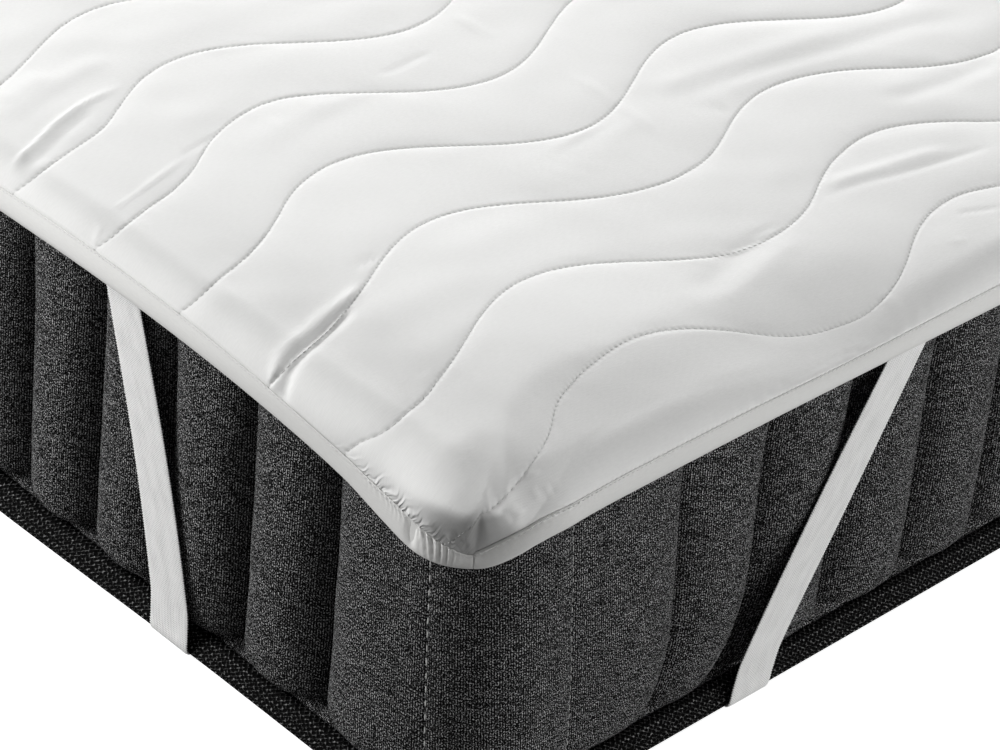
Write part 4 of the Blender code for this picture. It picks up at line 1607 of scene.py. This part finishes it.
def tape_section():
    """Section of the tape, as inset and height: a plain lip below, and ribs lying side by side."""
    section = [(TAPE_DEPTH, 0.0), (0.0045, 0.0), (0.0022, 0.0005), (0.0010, 0.0016), (0.0006, 0.0028)]
    for rib in range(TAPE_RIBS):
        for share in (0.0, 0.2, 0.4, 0.6, 0.8):
            place = (rib + share) / TAPE_RIBS
            inset = 0.0008 + 0.0066 * place**1.5
            bulge = 0.0008 * math.sin(math.pi * share) ** 0.7 - 0.0004 if share else -0.0006
            section.append((inset - bulge, TAPE_LIP + TAPE_RIB_RUN * place))
    return section + [(0.0082, TAPE_SHOWN), (TAPE_DEPTH, TAPE_SHOWN)]


def build_tape(finish):
    """Woven tape round the foot of the mattress."""
    section = tape_section()
    around = graded(PERIMETER, ((0, 0.006), (PERIMETER, 0.006)))[:-1]
    size, count = len(section), len(around)
    foot, _ = wall_place(around, np.zeros(count))
    middle = smooth((TAPE_SPREAD_FROM - np.abs(foot[:, 1])) / TAPE_SPREAD_OVER)
    spread = TAPE_SPREAD + TAPE_SPREAD_ADDED * middle
    rings = []
    for inset, height in section:
        plan, _ = wall_place(around, inset - spread * (1 - inset / TAPE_DEPTH))
        level = np.full((count, 1), TAPE_LOW.z + height)
        rings.append(np.concatenate([plan, level], axis=1))
    points = np.stack(rings, axis=1).reshape(-1, 3)
    faces = []
    for column in range(count):
        here, after = column * size, (column + 1) % count * size
        for edge in range(size):
            beside = (edge + 1) % size
            faces.append((here + beside, here + edge, after + edge, after + beside))
    steps = np.concatenate([[0], np.cumsum(np.linalg.norm(np.diff(np.array(section), axis=0), axis=1))])
    cloth = np.stack(
        [np.repeat(around[:, None], size, axis=1), np.repeat(steps[None, :], count, axis=0)], axis=-1
    )
    mesh = make_mesh("woven_tape", points, faces, finish, {"cloth": cloth.reshape(-1, 2)})
    tape = put("tape", mesh)
    dress(tape, "mattress_tape", "mattress_tape")
    return tape


# ---------------------------------------------------------------- stitches


def stitch_tree():
    """Geometry Nodes group that lays even stitches along the edges of a mesh."""
    tree = bpy.data.node_groups.new("stitch_row", "GeometryNodeTree")
    sockets = {}

    def socket(name, kind, default=None, direction="INPUT"):
        made = tree.interface.new_socket(name=name, in_out=direction, socket_type=kind)
        if default is not None:
            made.default_value = default
        sockets[name] = made.identifier

    socket("Rows", "NodeSocketGeometry")
    socket("Pitch", "NodeSocketFloat", 0.004)
    socket("Stitch Length", "NodeSocketFloat", 0.003)
    socket("Thread Width", "NodeSocketFloat", 0.0005)
    socket("Unevenness", "NodeSocketFloat", 0.12)
    socket("Seed", "NodeSocketInt", 7)
    socket("Thread", "NodeSocketMaterial")
    socket("Stitches", "NodeSocketGeometry", direction="OUTPUT")
    given = tree.nodes.new("NodeGroupInput").outputs
    curve = node(tree, "GeometryNodeMeshToCurve", {0: given["Rows"]}).outputs[0]
    row = node(
        tree, "GeometryNodeCurveToPoints", {"Curve": curve, "Length": given["Pitch"]}, mode="LENGTH"
    )
    bead = node(tree, "GeometryNodeMeshIcoSphere", {"Radius": 0.5, "Subdivisions": 1})
    rounded = node(tree, "GeometryNodeSetShadeSmooth", {0: bead.outputs[0]}).outputs[0]
    spread = node(
        tree,
        "FunctionNodeRandomValue",
        {2: sum_up(tree, "SUBTRACT", 1.0, given["Unevenness"]), 3: 1.0, "Seed": given["Seed"]},
        data_type="FLOAT",
    ).outputs[1]
    size = node(
        tree,
        "ShaderNodeCombineXYZ",
        {
            0: given["Thread Width"],
            1: given["Thread Width"],
            2: sum_up(tree, "MULTIPLY", given["Stitch Length"], spread),
        },
    ).outputs[0]
    placed = node(
        tree,
        "GeometryNodeInstanceOnPoints",
        {
            "Points": row.outputs["Points"],
            "Instance": rounded,
            "Rotation": row.outputs["Rotation"],
            "Scale": size,
        },
    ).outputs[0]
    real = node(tree, "GeometryNodeRealizeInstances", {0: placed}).outputs[0]
    coloured = node(tree, "GeometryNodeSetMaterial", {0: real, "Material": given["Thread"]})
    node(tree, "NodeGroupOutput", {0: coloured.outputs[0]})
    return tree, sockets


def sew(name, routes, tree, sockets, values):
    """Stitches along routes in space, as one plain mesh."""
    points, edges, count = [], [], 0
    for route in routes:
        points.append(route)
        edges += [(count + i, count + i + 1) for i in range(len(route) - 1)]
        count += len(route)
    mesh = bpy.data.meshes.new(name)
    mesh.from_pydata(np.concatenate(points).tolist(), edges, [])
    sewn = put(name, mesh)
    modifier = sewn.modifiers.new("stitches", "NODES")
    modifier.node_group = tree
    for label, value in values.items():
        modifier[sockets[label]] = value
    graph = bpy.context.evaluated_depsgraph_get()
    made = bpy.data.meshes.new_from_object(sewn.evaluated_get(graph), depsgraph=graph)
    sewn.modifiers.remove(modifier)
    sewn.data = made
    return sewn


def wave_routes():
    """Routes of the wave lines over the pad, just above its sewn grooves."""
    reach = SEAM_X - LINE_END
    x = np.linspace(-reach, reach, 1600)
    lift = np.full_like(x, LINE_LIFT)
    return [drape(x, line_place(line, x), lift) for line in range(WAVE_LINES)]


def binding_routes():
    """Routes of the stitching near the inner edge of each binding strip."""
    depth = BINDING_WIDTH - HEM_LINE_INSET
    routes = []
    for along_x, side in ((True, -1), (True, 1), (False, -1), (False, 1)):
        half, across = (HALF_X, HALF_Y) if along_x else (HALF_Y, HALF_X)
        reach = half - depth - LINE_END
        along = np.linspace(-reach, reach, 1400)
        off = np.full_like(along, side * (across - depth))
        lift = np.full_like(along, HEM_LINE_LIFT)
        if side < 0:
            lift = lift + binding_gathers(along_x, along + half, np.full_like(along, depth))
            if along_x:
                roll = hump(along + half, 0.045, 0.040)
                lift = lift + 0.0010 * roll * float(smooth((depth - 0.010) / 0.003))
        routes.append(drape(*((along, off) if along_x else (off, along)), lift))
    return routes


def channel_routes(grooves):
    """Upright routes along the bottoms of mattress channels."""
    heights = np.linspace(*CHANNEL_SEWN, 40)
    routes = []
    for top, foot, depth in grooves:
        around = leaning(top, foot, heights)
        inset = border_inset(around, np.zeros_like(heights), np.full_like(heights, depth), heights)
        plan, _ = wall_place(around, inset - THREAD_STANDS_OUT)
        routes.append(np.concatenate([plan, heights[:, None]], axis=1))
    return routes


# ---------------------------------------------------------------- stage

CAMERA_AIM = (0.0886, 0.0902)  # in from the walls at corner a, at the stitched lines
CAMERA_HEADING = 41.80
CAMERA_ELEVATION = 33.41
CAMERA_ROLL = 7.19
CAMERA_DISTANCE = 1.7733
LIGHT_AIM = (-0.69, -0.25, 0.2)
LIGHT_DISTANCE = 2.3
LIGHT_SIZE = 1.3
FLOOR_REACH = 40
FLOOR_LEVEL = -0.0002


def set_camera(lens):
    """The camera, aimed at a place on the pad by corner a."""
    heading, rise = math.radians(CAMERA_HEADING), math.radians(CAMERA_ELEVATION)
    ahead = Vector(
        (math.cos(heading) * math.cos(rise), math.sin(heading) * math.cos(rise), -math.sin(rise))
    )
    level = Vector((math.sin(heading), -math.cos(heading), 0))
    upright = level.cross(ahead)
    roll = math.radians(CAMERA_ROLL)
    right = level * math.cos(roll) + upright * math.sin(roll)
    aim = Vector((-LENGTH / 2 + CAMERA_AIM[0], -WIDTH / 2 + CAMERA_AIM[1], HEIGHT))
    data = bpy.data.cameras.new("camera")
    data.sensor_width = 36
    data.lens = lens
    data.clip_start = 0.05
    data.clip_end = 100
    camera = bpy.data.objects.new("camera", data)
    bpy.context.scene.collection.objects.link(camera)
    turned = Matrix((right, right.cross(ahead), -ahead)).transposed().to_4x4()
    turned.translation = aim - ahead * CAMERA_DISTANCE
    camera.matrix_world = turned
    bpy.context.scene.camera = camera


def add_light(name, turn, rise, power):
    """Round soft light at a turn from straight behind the corner, as the camera sees it, and a rise."""
    turn, rise = math.radians(CAMERA_HEADING + turn), math.radians(rise)
    toward = Vector((math.cos(turn) * math.cos(rise), math.sin(turn) * math.cos(rise), math.sin(rise)))
    data = bpy.data.lights.new(name, "AREA")
    data.shape = "DISK"
    data.size = LIGHT_SIZE
    data.energy = power
    light = bpy.data.objects.new(name, data)
    bpy.context.scene.collection.objects.link(light)
    light.location = Vector(LIGHT_AIM) + toward * LIGHT_DISTANCE
    light.rotation_mode = "QUATERNION"
    light.rotation_quaternion = (-toward).to_track_quat("-Z", "Y")
    light.visible_camera = False
    return light


# ---------------------------------------------------------------- settings


def distance(name, description, default):
    """Setting for a length in metres."""
    return FloatProperty(
        name=name, description=description, default=default, min=0, unit="LENGTH", precision=5
    )


def colour(name, description, default):
    """Setting for a colour."""
    return FloatVectorProperty(
        name=name, description=description, default=default, size=3, min=0, max=1, subtype="COLOR"
    )


class PadSettings(bpy.types.PropertyGroup):
    crown: distance("Crown", "Rise of a filled channel between its stitched lines", 0.0019)
    pucker: distance("Pucker", "Height of the small wrinkles beside a stitched line", 0.0004)
    cloth: colour("Cloth", "Colour of the brushed cloth", (0.895, 0.895, 0.882))
    strip: colour("Binding", "Colour of the binding strip", (0.82, 0.818, 0.80))


class StitchSettings(bpy.types.PropertyGroup):
    pitch: distance("Pitch", "Distance from one stitch to the next", 0.0040)
    length: distance("Length", "Length of thread that shows in a stitch", 0.0031)
    thickness: distance("Thread", "Thickness of the thread", 0.00055)
    thread: colour("Thread colour", "Colour of the thread on the cloth", (0.80, 0.80, 0.79))
    seed: IntProperty(name="Seed", description="Changes which stitches are shorter", default=7)


class BandSettings(bpy.types.PropertyGroup):
    webbing: colour("Webbing", "Colour of the elastic", (0.95, 0.95, 0.94))


class MattressSettings(bpy.types.PropertyGroup):
    channel_pitch: distance("Channel pitch", "Width of an upright panel of the border", 0.0685)
    knit_dark: colour("Knit, dark", "Dark fibres of the knit", (0.004, 0.004, 0.0042))
    knit_light: colour("Knit, light", "Light fibres of the knit", (0.62, 0.62, 0.625))
    tape_dark: colour("Tape, dark", "Ground of the woven tape", (0.002, 0.002, 0.002))
    tape_light: colour("Tape, light", "Raised yarns of the woven tape", (0.35, 0.35, 0.35))


class StageSettings(bpy.types.PropertyGroup):
    lens: FloatProperty(name="Lens", description="Focal length in millimetres", default=121.56, min=10)
    floor: colour("Floor", "Colour of the floor", (0.92, 0.92, 0.92))
    back: FloatProperty(name="Back light", description="Power of the light behind", default=63, min=0)
    left: FloatProperty(name="Left light", description="Power of the light on the left", default=43, min=0)
    high: FloatProperty(name="High light", description="Power of the high left light", default=14, min=0)
    front: FloatProperty(name="Front light", description="Power of the light in front", default=10, min=0)
    right: FloatProperty(name="Right light", description="Power of the right light", default=25, min=0)
    ambient: FloatProperty(name="Ambient", description="Strength of the even light", default=0.146, min=0)
    glow: FloatProperty(name="Floor glow", description="Light from the paper floor", default=0.8, min=0)


class ProtectorSettings(bpy.types.PropertyGroup):
    pad: PointerProperty(type=PadSettings)
    stitches: PointerProperty(type=StitchSettings)
    bands: PointerProperty(type=BandSettings)
    mattress: PointerProperty(type=MattressSettings)
    stage: PointerProperty(type=StageSettings)


# ---------------------------------------------------------------- operators


class PROTECTOR_OT_stage(bpy.types.Operator):
    """Set up the floor, the lights and the camera"""

    bl_idname = "protector.stage"
    bl_label = "Stage"

    def execute(self, context):
        settings = context.scene.protector.stage
        set_camera(settings.lens)
        finish = paper_floor(tuple(settings.floor), settings.glow)
        turns = ((-1, -1), (1, -1), (1, 1), (-1, 1))
        corners = [(x * FLOOR_REACH, y * FLOOR_REACH, FLOOR_LEVEL) for x, y in turns]
        floor = put("floor", make_mesh("floor", corners, [(0, 1, 2, 3)], finish))
        floor.visible_diffuse = False
        floor.visible_glossy = False
        for name, turn, rise, power in (
            ("back", 0, 14, settings.back),
            ("left", 90, 14, settings.left),
            ("left_high", 90, 40, settings.high),
            ("front", 225, 9, settings.front),
            ("right", 270, 10, settings.right),
        ):
            add_light(name, turn, rise, power)
        world = bpy.data.worlds.new("soft_studio")
        world.use_nodes = True
        background = world.node_tree.nodes["Background"]
        background.inputs["Color"].default_value = (1, 1, 1, 1)
        background.inputs["Strength"].default_value = settings.ambient
        context.scene.world = world
        context.scene.view_settings.view_transform = "Standard"
        return {"FINISHED"}


class PROTECTOR_OT_pad(bpy.types.Operator):
    """Model the quilted pad"""

    bl_idname = "protector.pad"
    bl_label = "Quilted pad"

    def execute(self, context):
        settings = context.scene.protector
        finish = microfibre("quilted_microfibre", tuple(settings.pad.cloth), settings.stitches.pitch)
        build_pad(settings.pad, finish)
        return {"FINISHED"}


class PROTECTOR_OT_binding(bpy.types.Operator):
    """Model the four folded strips of the bound edge"""

    bl_idname = "protector.binding"
    bl_label = "Binding"

    def execute(self, context):
        finish = microfibre("binding_cloth", tuple(context.scene.protector.pad.strip))
        for name, along_x, side in (
            ("binding_front", True, -1),
            ("binding_back", True, 1),
            ("binding_left", False, -1),
            ("binding_right", False, 1),
        ):
            build_binding(name, along_x, side, finish)
        return {"FINISHED"}


class PROTECTOR_OT_bands(bpy.types.Operator):
    """Model the elastic band across each corner"""

    bl_idname = "protector.bands"
    bl_label = "Elastic bands"

    def execute(self, context):
        finish = elastic_webbing(tuple(context.scene.protector.bands.webbing))
        for corner in CORNERS:
            build_band(corner, finish)
        return {"FINISHED"}


class PROTECTOR_OT_mattress(bpy.types.Operator):
    """Model the mattress with its channelled border and the tape round its foot"""

    bl_idname = "protector.mattress"
    bl_label = "Mattress"

    def execute(self, context):
        settings = context.scene.protector.mattress
        build_mattress(settings, marled_knit(tuple(settings.knit_dark), tuple(settings.knit_light)))
        build_tape(ribbed_tape(tuple(settings.tape_dark), tuple(settings.tape_light)))
        return {"FINISHED"}


class PROTECTOR_OT_stitches(bpy.types.Operator):
    """Sew the wave lines, the binding and the channels of the mattress"""

    bl_idname = "protector.stitches"
    bl_label = "Stitches"

    def execute(self, context):
        settings = context.scene.protector
        stitches = settings.stitches
        tree, sockets = stitch_tree()
        white = thread_finish("white_thread", tuple(stitches.thread))
        pale = thread_finish("mattress_thread", THREAD_ON_MATTRESS)
        fine = {
            "Pitch": stitches.pitch,
            "Stitch Length": stitches.length,
            "Thread Width": stitches.thickness,
            "Seed": stitches.seed,
            "Thread": white,
        }
        dress(sew("wave_stitches", wave_routes(), tree, sockets, fine), "quilt")
        hem = {**fine, "Pitch": 0.0034, "Stitch Length": 0.0026}
        dress(sew("binding_stitches", binding_routes(), tree, sockets, hem), "binding")
        grooves = channel_places(settings.mattress.channel_pitch)
        bold = [groove for groove in grooves if groove[2] < BOLD_CHANNEL]
        rest = [groove for groove in grooves if groove[2] >= BOLD_CHANNEL]
        wide = {**fine, "Pitch": 0.0084, "Stitch Length": 0.0052, "Thread Width": 0.0008, "Thread": pale}
        dress(sew("corner_channel_stitches", channel_routes(bold), tree, sockets, wide), "mattress_knit")
        small = {**fine, "Pitch": 0.0068, "Stitch Length": 0.0040, "Thread Width": 0.0005, "Thread": pale}
        dress(sew("channel_stitches", channel_routes(rest), tree, sockets, small), "mattress_knit")
        return {"FINISHED"}


class PROTECTOR_PT_panel(bpy.types.Panel):
    bl_idname = "PROTECTOR_PT_panel"
    bl_label = "Mattress Protector"
    bl_space_type = "VIEW_3D"
    bl_region_type = "UI"
    bl_category = "Protector"

    def draw(self, context):
        settings = context.scene.protector
        for group in (settings.pad, settings.stitches, settings.bands, settings.mattress, settings.stage):
            box = self.layout.box()
            for name in group.__annotations__:
                box.prop(group, name)
        for operator in OPERATORS:
            self.layout.operator(operator.bl_idname)


OPERATORS = (
    PROTECTOR_OT_stage,
    PROTECTOR_OT_pad,
    PROTECTOR_OT_binding,
    PROTECTOR_OT_bands,
    PROTECTOR_OT_mattress,
    PROTECTOR_OT_stitches,
)
GROUPS = (PadSettings, StitchSettings, BandSettings, MattressSettings, StageSettings, ProtectorSettings)
CLASSES = (*GROUPS, *OPERATORS, PROTECTOR_PT_panel)


def register():
    """Makes the settings, operators and panel known."""
    for made in CLASSES:
        bpy.utils.register_class(made)
    bpy.types.Scene.protector = PointerProperty(type=ProtectorSettings)


def unregister():
    """Takes them out again."""
    del bpy.types.Scene.protector
    for made in reversed(CLASSES):
        bpy.utils.unregister_class(made)


def main():
    """Builds everything in order."""
    register()
    for operator in OPERATORS:
        group, name = operator.bl_idname.split(".")
        getattr(getattr(bpy.ops, group), name)()


if __name__ == "__main__":
    main()
